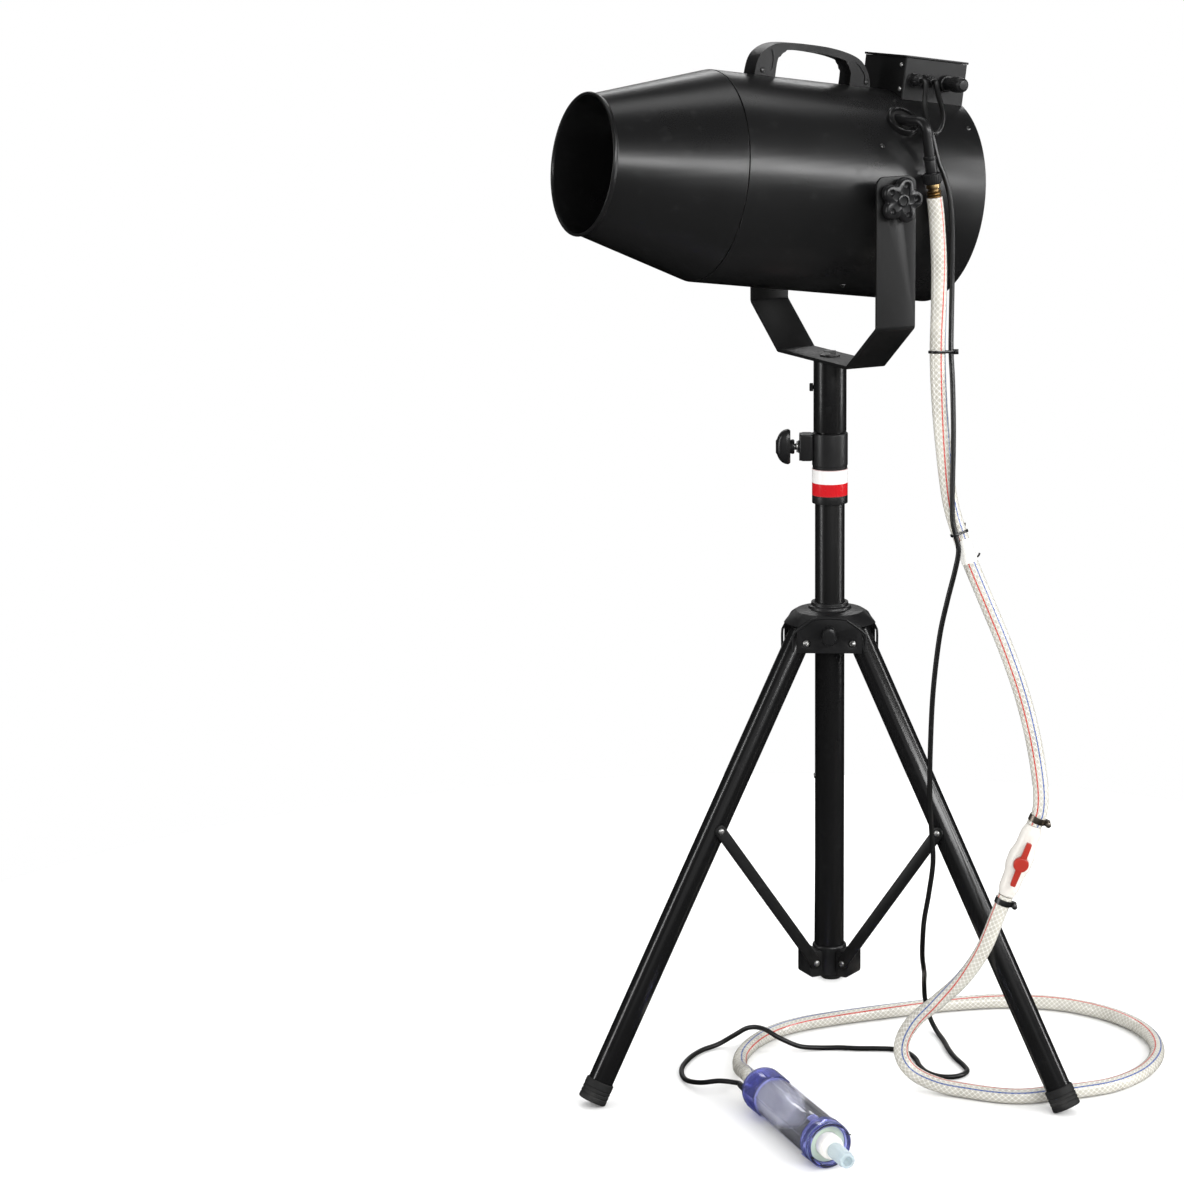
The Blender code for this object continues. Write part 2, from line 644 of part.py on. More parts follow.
def build_yoke(yoke):
    half, base, top = YOKE_WIDTH / 2, YOKE_BASE / 2, TILT_Z + YOKE_ABOVE
    bend = YOKE_BASE_Z + YOKE_SLANT
    run = [(-half, top), (-half, bend), (-base, YOKE_BASE_Z), (base, YOKE_BASE_Z),
           (half, bend), (half, top)]
    side_on = Matrix(((0, 0, 1, 0), (1, 0, 0, 0), (0, 1, 0, 0), (0, 0, 0, 1)))
    bm = slab(bar_outline(run, YOKE_THICK), -YOKE_BAR / 2, YOKE_BAR / 2, side_on)
    corners = [
        e for e in bm.edges
        if all(abs(v.co.z - top) < 1e-5 for v in e.verts) and abs(e.verts[0].co.x - e.verts[1].co.x) < 1e-5
    ]
    bmesh.ops.bevel(bm, geom=corners, offset=YOKE_CORNER, segments=3, affect="EDGES", profile=0.5)
    bracket = solid("yoke_bracket", bm, yoke, LOOKS["black_paint"])
    stud = along((0, 1, 0), TILT_AT)
    combine(bracket, rod(STUD_D / 2 + PIN_PLAY, -half - 0.01, half + 0.01, 16, stud))
    bolt_r = BASE_BOLT_D / 2
    combine(bracket, rod(bolt_r + PIN_PLAY, YOKE_BASE_Z - 0.01, YOKE_BASE_Z + 0.01))

    socket_top = YOKE_BASE_Z - GAP
    socket_low = YOKE_BASE_Z - SOCKET_LENGTH
    inside = MAST_R + SLIDE_PLAY
    profile = [
        (bolt_r + PIN_PLAY, socket_top), (SOCKET_D / 2, socket_top), (SOCKET_D / 2, socket_low),
        (inside, socket_low), (inside, socket_top - SOCKET_CAP),
        (bolt_r + PIN_PLAY, socket_top - SOCKET_CAP),
    ]
    socket = solid("mast_socket", turned(profile), yoke, LOOKS["black_paint"])
    outward = Vector((math.cos(LUG_TURN), math.sin(LUG_TURN), 0))
    screw_r = 0.0025
    level = Vector((0, 0, SOCKET_SCREW_Z))
    combine(socket, rod(screw_r + PIN_PLAY, 0, 0.05, 8, along(outward, level)))
    start = MAST_R + 2 * GAP
    head = SOCKET_D / 2 + GAP
    screw = [(0, start), (screw_r, start), (screw_r, head), (0.0045, head),
             (0.0045, head + 0.0045), (0, head + 0.0045)]
    thumb = solid("socket_screw", turned(screw, 12, along(outward)), yoke, LOOKS["black_plastic"])
    thumb.location = level

    plate_top = YOKE_BASE_Z + YOKE_THICK + GAP
    low = socket_top - SOCKET_CAP - 0.005
    nut_top = socket_top - SOCKET_CAP - GAP
    bolt = [(0, low), (0.0078, low), (0.0078, nut_top), (bolt_r, nut_top), (bolt_r, plate_top),
            (0.009, plate_top), (0.0085, plate_top + 0.004), (0, plate_top + 0.0055)]
    solid("yoke_bolt", turned(bolt, 16), yoke, LOOKS["black_paint"])


def star(sides):
    for k in range(sides):
        t = 2 * math.pi * k / sides
        r = KNOB_D / 2 - KNOB_LOBE * (1 - math.cos(KNOB_LOBES * t))
        yield r * math.cos(t), r * math.sin(t)


def build_tilt_knobs(barrel):
    for name, side in (("tilt_knob_near", -1), ("tilt_knob_far", 1)):
        face = YOKE_WIDTH / 2 + GAP
        place = Vector((0, side * face, 0))
        turn = along((0, side, 0))
        bm = slab(list(star(30)), KNOB_THICK * 0.3, KNOB_THICK, turn)
        knob = solid(name, bm, barrel, LOOKS["black_plastic"])
        knob.location = place
        combine_at(knob, rod(0.015, 0, KNOB_THICK * 0.8, 16, turn), place)
        combine(knob, rod(STUD_D / 2 + PIN_PLAY, -0.01, KNOB_THICK - 0.004, 16, turn))
        knob.modifiers[-1].object.location = place


def shell_rivets():
    """(place along the barrel, turn about it) of each rivet in the shell."""
    for k in range(4):
        yield MOTOR_FRONT + BRACKET_BACK + BRACKET_THICK / 2, BRACKET_RIVET_TURN + k * math.pi / 2
    for k in range(4):
        yield REAR_X - GUARD_RIVET_BACK, GUARD_RIVET_TURN + k * math.pi / 2


def radial(x, turn, radius=0.0):
    """A matrix whose +Z points out of the shell at a place along it and a turn from -Y upwards."""
    out = Vector((0, -math.cos(turn), math.sin(turn)))
    return along(out, Vector((x, 0, 0)) + out * radius)


def rivet_holes():
    bm = bmesh.new()
    for x, turn in shell_rivets():
        rod(RIVET_D / 2 + PIN_PLAY, BARREL_R - 2 * RIVET_DEPTH, BARREL_R, 8, radial(x, turn), bm)
    return bm


def shell_round(radius=BARREL_R + GAP):
    """A long cylinder on the barrel's axis, which cuts what sits on the shell to fit it."""
    return rod(radius, SEAM_X, REAR_X + 0.05, 64, along((1, 0, 0)))


def build_barrel(barrel):
    black = LOOKS["black_paint"]
    lengthways = along((1, 0, 0))
    shell = solid("barrel_shell", pipe(BARREL_R, INNER_R, SEAM_X, REAR_X, 48, lengthways), barrel, black)
    combine(shell, rod(STUD_D / 2 + PIN_PLAY, -BARREL_D, BARREL_D, 16, along((0, 1, 0))))
    combine(shell, rod(PORT_BORE / 2, BARREL_R - 0.02, BARREL_R + 0.02, 16, radial(PORT_X, PORT_TURN)))
    rivets = bmesh.new()
    for x, turn in shell_rivets():
        profile = [
            (0, BARREL_R - RIVET_DEPTH), (RIVET_D / 2, BARREL_R - RIVET_DEPTH),
            (RIVET_D / 2, BARREL_R - 0.0005), (RIVET_HEAD_D / 2, BARREL_R - 0.0005),
            (RIVET_HEAD_D / 2 - 0.001, BARREL_R + 0.0018), (0, BARREL_R + 0.0022),
        ]
        turned(profile, 8, radial(x, turn), rivets)
    combine(shell, rivets, "UNION")

    mouth, lap = MOUTH_D / 2, INNER_R - GAP
    profile = [
        (mouth + RIM_BEAD, MOUTH_X), (mouth + RIM_BEAD, MOUTH_X + 0.004),
        (mouth, MOUTH_X + 0.006), (BARREL_R, SEAM_X - GAP), (lap, SEAM_X - GAP),
        (lap, SEAM_X + CONE_LAP), (lap - BARREL_WALL, SEAM_X + CONE_LAP),
        (lap - BARREL_WALL, SEAM_X - 0.001), (mouth - BARREL_WALL, MOUTH_X),
    ]
    solid("nozzle_cone", turned(profile, 48, lengthways), barrel, black)

    build_studs(barrel)
    build_tilt_knobs(barrel)
    build_insides(barrel)
    build_handle(barrel)
    build_control_box(barrel)


def build_studs(barrel):
    for name, side in (("pivot_stud_near", -1), ("pivot_stud_far", 1)):
        boss, nut, r = STUD_BOSS_D / 2, 0.009, STUD_D / 2
        nut_out = math.sqrt(INNER_R ** 2 - nut ** 2) - 3 * GAP
        arm = YOKE_WIDTH / 2 - YOKE_THICK - GAP
        end = YOKE_WIDTH / 2 + KNOB_THICK - 0.006
        profile = [
            (0, nut_out - 0.006), (nut, nut_out - 0.006), (nut, nut_out), (r, nut_out),
            (r, BARREL_R + GAP), (boss, BARREL_R + GAP), (boss, arm), (r, arm), (r, end), (0, end),
        ]
        solid(name, turned(profile, 16, along((0, side, 0))), barrel, LOOKS["black_paint"])


def build_insides(barrel):
    lengthways = along((1, 0, 0))
    motor_r = MOTOR_D / 2
    motor_end = MOTOR_FRONT + MOTOR_LENGTH
    shaft_in = 0.022
    bore = SHAFT_D / 2 + PIN_PLAY
    profile = [
        (bore, MOTOR_FRONT), (motor_r - 0.004, MOTOR_FRONT), (motor_r, MOTOR_FRONT + 0.004),
        (motor_r, motor_end - 0.008), (motor_r - 0.008, motor_end), (0, motor_end),
        (0, MOTOR_FRONT + shaft_in), (bore, MOTOR_FRONT + shaft_in),
    ]
    solid("fan_motor", turned(profile, 24, lengthways), barrel, LOOKS["grey_metal"])

    ring_start = MOTOR_FRONT + BRACKET_BACK
    ring_end = ring_start + BRACKET_THICK
    ring_in, ring_out = motor_r + GAP, motor_r + 0.004
    bracket = solid("motor_bracket", pipe(ring_out, ring_in, ring_start, ring_end, 24, lengthways),
                    barrel, LOOKS["grey_metal"])
    arm_end = INNER_R - 2 * GAP
    arms = bmesh.new()
    for k in range(4):
        at = radial(0, BRACKET_RIVET_TURN + k * math.pi / 2)
        across = at.to_3x3().inverted() @ Vector((1, 0, 0))
        turn = at @ Matrix.Rotation(math.atan2(across.y, across.x), 4, "Z")
        start = ring_out - 0.002
        middle = ((ring_start + ring_end) / 2, 0, (start + arm_end) / 2)
        block((BRACKET_THICK, BRACKET_ARM, arm_end - start), middle, turn, arms)
    combine(bracket, arms, "UNION")
    combine(bracket, rivet_holes())

    build_fan(barrel, shaft_in)

    net_r = INNER_R - 2 * GAP - BARREL_WALL - 0.0008
    rib = math.radians(2.5)
    turns = []
    for k in range(SCREEN_RIBS):
        start = 2 * math.pi * k / SCREEN_RIBS
        turns += [start, start + rib]
    radii = [0.008]
    for k in range(2):
        radii += [0.040 + 0.034 * k, 0.0425 + 0.034 * k]
    radii += [net_r - 0.004, net_r]
    facing = along((1, 0, 0), (SCREEN_X, 0, 0))
    net = pierced_disc(radii, turns, lambda i, k: i % 2 == 0 and k % 2 == 1, SCREEN_THICK, facing)
    solid("foam_screen", net, barrel, LOOKS["steel"])

    rim = INNER_R - 3 * GAP
    spoke = math.radians(4)
    turns = []
    for k in range(6):
        start = math.pi / 3 * k
        turns += [start, start + spoke]
        turns += [start + spoke + (math.pi / 3 - spoke) * n / 3 for n in (1, 2)]
    radii = [0.022]
    for k in range(2):
        radii += [0.050 + 0.030 * k, 0.054 + 0.030 * k]
    radii += [rim - 0.006, rim]
    facing = along((1, 0, 0), (REAR_X - GUARD_INSET - GUARD_THICK, 0, 0))
    guard = pierced_disc(radii, turns, lambda i, k: i % 2 == 0 and k % 4 != 0, GUARD_THICK, facing)
    made = solid("rear_guard", guard, barrel, LOOKS["black_paint"])
    band_low = REAR_X - GUARD_RIVET_BACK - 0.006
    band = pipe(rim, rim - 0.002, band_low, REAR_X - GUARD_INSET - 0.001, 36, lengthways)
    combine(made, band, "UNION")
    combine(made, rivet_holes())

    start = ELBOW_START + Vector((0, GAP, 0))
    run = [
        start, (start.x, PIPE_SIDE, start.z), (SPRAY_X, PIPE_SIDE, PIPE_UP), (SPRAY_X, 0, 0),
        (SPRAY_X - 0.028, 0, 0),
    ]
    bm = swept(rounded(run, 0.010, 3), PIPE_D / 2, 8)
    pipe_made = solid("spray_pipe", bm, barrel, LOOKS["brass"])
    head = [(0, -0.004), (0.007, -0.002), (0.010, 0.008), (0, 0.008)]
    combine(pipe_made, turned(head, 12, along((-1, 0, 0), (SPRAY_X - 0.024, 0, 0))), "UNION")


def build_fan(barrel, shaft_in):
    fan = frame("fan_frame", barrel)
    lengthways = along((1, 0, 0))
    hub_r, shaft_r = FAN_HUB_D / 2, SHAFT_D / 2
    hub_end = FAN_FRONT + FAN_DEPTH
    shaft_end = MOTOR_FRONT + shaft_in - 0.001
    profile = [
        (0, FAN_FRONT - 0.004), (hub_r * 0.6, FAN_FRONT - 0.003), (hub_r, FAN_FRONT + 0.003),
        (hub_r, hub_end), (shaft_r, hub_end), (shaft_r, shaft_end), (0, shaft_end),
    ]
    rotor = solid("fan_rotor", turned(profile, 24, lengthways), fan, LOOKS["grey_plastic"])
    blades = bmesh.new()
    for k in range(FAN_BLADES):
        around = Matrix.Rotation(2 * math.pi * k / FAN_BLADES, 4, "X")
        pitch = Matrix.Rotation(BLADE_PITCH, 4, "Z")
        root, tip = hub_r - 0.005, FAN_D / 2
        middle = Matrix.Translation(((FAN_FRONT + hub_end) / 2, 0, (root + tip) / 2))
        block((BLADE_THICK, BLADE_CHORD, tip - root), (0, 0, 0), around @ middle @ pitch, blades)
    combine(rotor, blades, "UNION")


def build_handle(barrel):
    black = LOOKS["black_plastic"]
    front, back = HANDLE_FRONT, HANDLE_FRONT + HANDLE_LENGTH
    foot = BARREL_R - 0.006
    top, under = HANDLE_TOP, HANDLE_TOP - HANDLE_BAR
    outline = [(front, foot)]
    outline += arc((front + 0.034, top - 0.024), 0.024, math.radians(165), math.radians(95), 4)
    outline += arc((back - 0.036, top - 0.026), 0.024, math.radians(80), math.radians(22), 4)
    outline += [(back, foot), (back - HANDLE_LEG, foot)]
    outline += arc((back - HANDLE_LEG - 0.009, under - 0.010), 0.008, 0, math.radians(85), 3)
    outline += arc((front + HANDLE_LEG + 0.011, under - 0.008), 0.008, math.radians(95), math.pi, 3)
    outline += [(front + HANDLE_LEG, foot)]
    side_on = Matrix(((1, 0, 0, 0), (0, 0, -1, 0), (0, 1, 0, 0), (0, 0, 0, 1)))
    half = HANDLE_WIDTH / 2
    bm = slab(outline, -half, half, side_on)
    picked = lambda e: (all(abs(abs(v.co.y) - half) < 1e-6 for v in e.verts)
                        and e.verts[0].co.y * e.verts[1].co.y > 0
                        and max(v.co.z for v in e.verts) > foot + 0.001)
    soften(bm, 0.0025, picked)
    made = solid("carry_handle", bm, barrel, black)
    combine(made, shell_round())


def build_control_box(barrel):
    black = LOOKS["black_paint"]
    middle = (BOX_FRONT + BOX_LENGTH / 2, 0)
    height = BOX_TOP - BOX_BOTTOM
    bm = block((BOX_LENGTH, BOX_WIDTH, height), (*middle, BOX_BOTTOM + height / 2))
    box = solid("control_box", bm, barrel, black)
    inner = (BOX_LENGTH - 2 * BOX_WALL, BOX_WIDTH - 2 * BOX_WALL, height + 0.04)
    combine(box, block(inner, (*middle, BOX_BOTTOM + height / 2)))
    combine(box, shell_round())
    face = -BOX_WIDTH / 2
    near = (0, -1, 0)
    holes = bmesh.new()
    for x in (*GLAND_X, SOCKET_X):
        rod(0.006, -0.01, 0.01, 12, along(near, (x, face, GLAND_UP)), holes)
    combine(box, holes)

    lid_low = BOX_TOP + GAP
    size = (BOX_LENGTH + 2 * LID_OVER, BOX_WIDTH + 2 * LID_OVER, LID_THICK)
    lid = block(size, (*middle, lid_low + LID_THICK / 2))
    upright = lambda e: abs(e.verts[0].co.z - e.verts[1].co.z) > LID_THICK / 2
    soften(lid, 0.003, upright)
    solid("control_box_lid", lid, barrel, black)

    for name, x, cable in zip(("pump_cable_gland", "motor_lead_gland"), GLAND_X, (CABLE_D, LEAD_D)):
        nut, dome = GLAND_D / 2, GLAND_D / 2 - 0.0015
        profile = [
            (0, -0.006), (0.0057, -0.006), (0.0057, GAP), (nut, GAP), (nut, 0.006), (dome, 0.006),
            (dome, GLAND_REACH - 0.005), (cable / 2 + 0.001, GLAND_REACH), (0, GLAND_REACH),
        ]
        gland = turned(profile, 12, along(near, (x, face, GLAND_UP)))
        solid(name, gland, barrel, LOOKS["black_plastic"])

    profile = [
        (0, -0.006), (0.0057, -0.006), (0.0057, GAP), (0.0095, GAP), (0.0095, 0.007), (0.007, 0.007),
        (0.007, 0.017), (0.0085, 0.017), (0.0085, SOCKET_REACH - 0.005), (0.006, SOCKET_REACH),
        (0, SOCKET_REACH),
    ]
    inlet = turned(profile, 12, along(near, (SOCKET_X, face, GLAND_UP)))
    solid("power_inlet", inlet, barrel, LOOKS["black_plastic"])

    strip = block((0.045, 0.022, 0.010), (*middle, BARREL_R + 0.006))
    strip = solid("terminal_block", strip, barrel, LOOKS["white_plastic"])
    caps = bmesh.new()
    for k in range(5):
        cap_at = (middle[0] + 0.009 * (k - 2), 0, BARREL_R + 0.0135)
        block((0.007, 0.020, 0.008), cap_at, None, caps)
    combine(strip, caps, "UNION")

    ring = pipe(PORT_D / 2, PORT_BORE / 2, BARREL_R - 0.006, BARREL_R + PORT_HEIGHT, 24,
                radial(PORT_X, PORT_TURN))
    combine(solid("inlet_port", ring, barrel, black), shell_round())


def level_with_barrel(place):
    """A place on the tilted barrel, from the mast's axis at floor level."""
    return TILT_AT + Matrix.Rotation(TILT_REST, 3, "Y") @ Vector(place)


def gland_face(which):
    face = -BOX_WIDTH / 2 - GLAND_REACH - GAP
    return level_with_barrel((GLAND_X[which], face, GLAND_UP))


def build_feed(stand, barrel):
    level = frame("level_frame", barrel, turn=(0, -TILT_REST, 0))
    nut_start = ELBOW_CORNER + ELBOW_DOWN * ELBOW_DROP - TILT_AT
    nut_end = nut_start + ELBOW_DOWN * ELBOW_NUT
    start = level_with_barrel(ELBOW_START) - TILT_AT
    run = [start, start - Vector((0, 0.030, 0)), ELBOW_CORNER - TILT_AT, nut_end]
    bm = swept(rounded(run, 0.013, 3), ELBOW_D / 2, 12)
    elbow = solid("inlet_elbow", bm, level, LOOKS["black_plastic"])
    nut = rod(ELBOW_NUT_D / 2, 0, ELBOW_NUT, 12, along(ELBOW_DOWN, nut_start))
    combine(elbow, nut, "UNION")
    r = TAIL_D / 2
    profile = [
        (0, 0), (r + 0.001, 0), (r + 0.001, 0.005), (r - 0.001, 0.005), (r - 0.001, 0.009),
        (r + 0.0015, 0.009), (r + 0.0015, TAIL_LENGTH), (0, TAIL_LENGTH),
    ]
    tail = turned(profile, 12, along(ELBOW_DOWN, nut_end + ELBOW_DOWN * GAP))
    solid("hose_tail", tail, level, LOOKS["brass"])

    outward = Vector((0, -1, 0))
    start = gland_face(1)
    lead = [p - TILT_AT for p in [start, start + outward * LEAD_D] + [Vector(p) for p in FAN_LEAD]]
    cord("motor_lead", cord_route(lead, LEAD_D, 1.7), LEAD_D, level, LOOKS["black_plastic"])

    start = gland_face(0)
    points = [start, start + outward * CABLE_D] + PUMP_LINE
    points += [SLEEVE_END - PUMP_AHEAD * CABLE_D, SLEEVE_END]
    cable = cord_route(points, CABLE_D, 4.2)
    cord("pump_cable", cable, CABLE_D, stand, LOOKS["black_plastic"])
    axis = (VALVE_END - VALVE_TOP).normalized()
    points = [HOSE_TOP, HOSE_TOP + ELBOW_DOWN * HOSE_D] + HOSE_HANG
    hose = cord_route(points + [VALVE_TOP - axis * HOSE_D, VALVE_TOP], HOSE_D)
    cord("upper_hose", hose, HOSE_D, stand, LOOKS["clear_hose"])
    low_end = VALVE_END + axis * GAP
    points = [low_end, low_end + axis * HOSE_D * 0.8] + HOSE_FLOOR
    points += [PUMP_BACK - PUMP_AHEAD * HOSE_D, PUMP_BACK]
    cord("lower_hose", cord_route(points, HOSE_D), HOSE_D, stand, LOOKS["clear_hose"])
    build_valve(stand)
    build_pump(stand)
    for name, height in zip(("cable_tie_upper", "cable_tie_lower"), TIES):
        here, up = crossing(hose, Vector((0, 0, height)), Vector((0, 0, 1)))
        beside, _ = crossing(cable, here, up)
        across = (beside - here).normalized()
        turn = Matrix((across, up.cross(across), up)).transposed().to_4x4()
        at = Matrix.Translation((here + beside) / 2 - up * 0.0015) @ turn
        reach = (beside - here).length
        tie = ring_slab(stadium(reach, 0.0020), stadium(reach, 0.0008), 0.003, at)
        solid(name, tie, stand, LOOKS["black_plastic"])


def stadium(reach, grow):
    """The outline that wraps the hose and the cable beside it, grown outwards."""
    hose, cable = HOSE_D / 2 + grow, CABLE_D / 2 + grow
    lean = math.asin((hose - cable) / reach)
    left = arc((-reach / 2, 0), hose, math.pi / 2 - lean, 3 * math.pi / 2 + lean, 10)
    right = arc((reach / 2, 0), cable, -math.pi / 2 + lean, math.pi / 2 - lean, 5)
    return left + right


def ring_slab(outer, inner, thick, matrix):
    bm = bmesh.new()
    rows = []
    for outline, height in ((outer, 0), (outer, thick), (inner, thick), (inner, 0)):
        rows.append([bm.verts.new(matrix @ Vector((x, y, height))) for x, y in outline])
    for low, high in zip(rows, rows[1:] + rows[:1]):
        for k in range(len(low)):
            n = (k + 1) % len(low)
            bm.faces.new([low[k], low[n], high[n], high[k]])
    return bm


def build_valve(stand):
    axis = VALVE_END - VALVE_TOP
    length = axis.length - 2 * GAP
    axis.normalize()
    facing = Vector((-0.49, -0.87, 0))
    facing = (facing - axis * facing.dot(axis)).normalized()
    at = along(axis, VALVE_TOP + axis * GAP)
    end_r, mid_r, body_r = 0.0085, VALVE_D / 2, VALVE_BALL_D / 2
    half = length / 2
    profile = [
        (0, 0), (end_r, 0), (mid_r - 0.001, 0.004), (mid_r, 0.006), (mid_r, half - 0.018),
        (body_r, half - 0.008), (body_r, half + 0.008), (mid_r, half + 0.018), (mid_r, length - 0.006),
        (mid_r - 0.001, length - 0.004), (end_r, length), (0, length),
    ]
    body = solid("valve_body", turned(profile, 16, at), stand, LOOKS["white_plastic"])
    middle = VALVE_TOP + axis * (GAP + half)
    out = along(facing, middle)
    well = 0.011
    combine(body, rod(STEM_D / 2 + PIN_PLAY, body_r - well, body_r + 0.01, 12, out))
    turning = frame("valve_frame", stand, middle)
    stem = rod(STEM_D / 2, body_r - well + GAP, body_r + 0.005, 12, along(facing))
    lever = solid("valve_lever", stem, turning, LOOKS["red_plastic"])
    flat = Matrix((axis, facing.cross(axis), facing)).transposed().to_4x4()
    grip = block((LEVER_LENGTH, LEVER_WIDTH, 0.006), (0, 0, body_r + 0.0045), flat)
    combine(lever, grip, "UNION")
    disc = rod(0.0085, body_r + 0.0012, body_r + 0.0082, 16, along(facing))
    combine(lever, disc, "UNION")


def build_pump(stand):
    blue = LOOKS["blue_clear"]
    pump = frame("pump_frame", stand, PUMP_REAR, (0, 0, PUMP_YAW))
    forward = along((1, 0, 0))
    r, wall = PUMP_D / 2, PUMP_WALL
    cap_length, ring_length = 0.040, 0.022
    tube_start, tube_end = cap_length + GAP, PUMP_LENGTH - ring_length - GAP
    tube = pipe(r - 0.002, r - 0.002 - wall, tube_start, tube_end, 20, forward)
    solid("pump_housing", tube, pump, LOOKS["clear_plastic"])
    nut = PUMP_INLET_D / 2
    profile = [
        (0, -PUMP_INLET_REACH), (nut, -PUMP_INLET_REACH), (nut, 0), (r - 0.005, 0.002),
        (r - 0.0005, 0.008), (r - 0.0005, cap_length), (0, cap_length),
    ]
    cap = solid("pump_rear_cap", turned(profile, 20, forward), pump, blue)
    sleeve = along((-1, 0, 0), (0.006, -PUMP_SLEEVE_OUT, 0))
    combine(cap, rod(PUMP_SLEEVE_D / 2, 0, PUMP_SLEEVE_REACH + 0.006, 10, sleeve), "UNION")
    profile = [
        (0.008 + GAP, PUMP_LENGTH - ring_length), (r - 0.0005, PUMP_LENGTH - ring_length),
        (r - 0.0005, PUMP_LENGTH), (r - 0.005, PUMP_LENGTH), (r - 0.005, PUMP_LENGTH - 0.008),
        (0.008 + GAP, PUMP_LENGTH - 0.008),
    ]
    solid("pump_front_ring", turned(profile, 20, forward), pump, blue)
    profile = [
        (0, PUMP_LENGTH - ring_length - 0.004), (0.008, PUMP_LENGTH - ring_length - 0.004),
        (0.008, PUMP_LENGTH - 0.008 + GAP), (0.014, PUMP_LENGTH - 0.008 + GAP), (0.014, PUMP_LENGTH + 0.012),
        (0.0095, PUMP_LENGTH + 0.014), (0.0095, PUMP_LENGTH + PUMP_SPOUT), (0, PUMP_LENGTH + PUMP_SPOUT),
    ]
    solid("pump_spout", turned(profile, 14, forward), pump, LOOKS["white_plastic"])
    motor_r = r - 0.008
    motor_end = 0.125
    bore = 0.002 + PIN_PLAY
    profile = [
        (0, tube_start), (motor_r, tube_start), (motor_r, motor_end), (bore, motor_end),
        (bore, motor_end - 0.02), (0, motor_end - 0.02),
    ]
    solid("pump_motor", turned(profile, 16, forward), pump, LOOKS["grey_metal"])
    profile = [
        (0, motor_end - 0.018), (0.002, motor_end - 0.018), (0.002, motor_end + 0.004),
        (0.018, motor_end + 0.004), (0.018, motor_end + 0.007), (0.006, motor_end + 0.009), (0.006, motor_end + 0.018),
        (0, motor_end + 0.018),
    ]
    rotor = solid("pump_impeller", turned(profile, 14, forward), pump, LOOKS["white_plastic"])
    vanes = bmesh.new()
    for k in range(6):
        around = Matrix.Rotation(math.pi / 3 * k, 4, "X")
        block((0.008, 0.0015, 0.013), (motor_end + 0.010, 0, 0.0110), around, vanes)
    combine(rotor, vanes, "UNION")


def build_hub(hub):
    black = LOOKS["black_plastic"]
    bore = COLUMN_R + SLIDE_PLAY
    ring = HUB_RING_D / 2
    profile = [
        (bore, HUB_BOTTOM), (HUB_ROUND_R, HUB_BOTTOM), (HUB_ROUND_R, HUB_EDGE_Z),
        (HUB_FACE_R, HUB_ROOF_Z), (ring + 0.002, HUB_ROOF_Z + 0.003), (ring, HUB_ROOF_Z + 0.005),
        (ring, HUB_TOP), (bore, HUB_TOP),
    ]
    casting = solid("hub_casting", turned(profile, 24), hub, black)
    keep = []
    for k in range(6):
        first = HUB_FACE_R if k % 2 == 0 else HUB_ROUND_R * 1.05
        second = HUB_ROUND_R * 1.05 if k % 2 == 0 else HUB_FACE_R
        a, b = math.radians(60 * k), math.radians(60 * (k + 1))
        turn = Matrix(((math.cos(a), math.sin(a)), (math.cos(b), math.sin(b))))
        spot = turn.inverted() @ Vector((first, second))
        keep.append((spot.x, spot.y))
    combine(casting, slab(keep, HUB_BOTTOM - 0.01, HUB_TOP + 0.01), "INTERSECT")
    slot_half = LEG_D / 2 + 2 * GAP
    holes, slots = bmesh.new(), bmesh.new()
    for leg, turn in LEG_TURNS.items():
        around = Matrix.Rotation(turn, 4, "Z")
        start = COLUMN_R + 0.006
        size = (0.06, 2 * slot_half, HUB_SLOT_TOP - HUB_BOTTOM + 0.02)
        block(size, (start + 0.03, 0, HUB_SLOT_TOP - size[2] / 2), around, slots)
        at = around @ along((0, 1, 0), (HUB_PIVOT_R, 0, HUB_PIVOT_Z))
        seat = slot_half + 0.0035
        head = seat + GAP
        r, head_r = LEG_BOLT_D / 2, LEG_BOLT_D / 2 + 0.0012
        profile = [
            (0, -head - 0.0045), (head_r, -head - 0.0035), (head_r, -head), (r, -head), (r, head),
            (head_r, head), (head_r, head + 0.0035), (0, head + 0.0045),
        ]
        solid("hub_bolt_" + leg, turned(profile, 10, at), hub, LOOKS["steel"])
        rod(r + PIN_PLAY, -seat - 0.01, seat + 0.01, 10, at, holes)
        for side in (-1, 1):
            low, high = sorted((side * seat, side * (seat + 0.02)))
            rod(head_r + GAP, low, high, 10, at, slots)
    combine(casting, slots)
    combine(casting, holes)

    facing = math.radians(240)
    outward = Vector((math.cos(facing), math.sin(facing), 0))
    level = Vector((0, 0, HUB_KNOB_Z))
    stud_r = 0.003
    combine(casting, rod(stud_r + PIN_PLAY, 0, 0.06, 8, along(outward, level)))
    knob_at = outward * (HUB_FACE_R + 2 * GAP) + level
    tip = HUB_FACE_R + 2 * GAP - COLUMN_R - 2 * GAP
    wing_knob("leg_lock_knob", hub, knob_at, outward, 0.028, 0.015, 0.016, stud_r, tip, black)


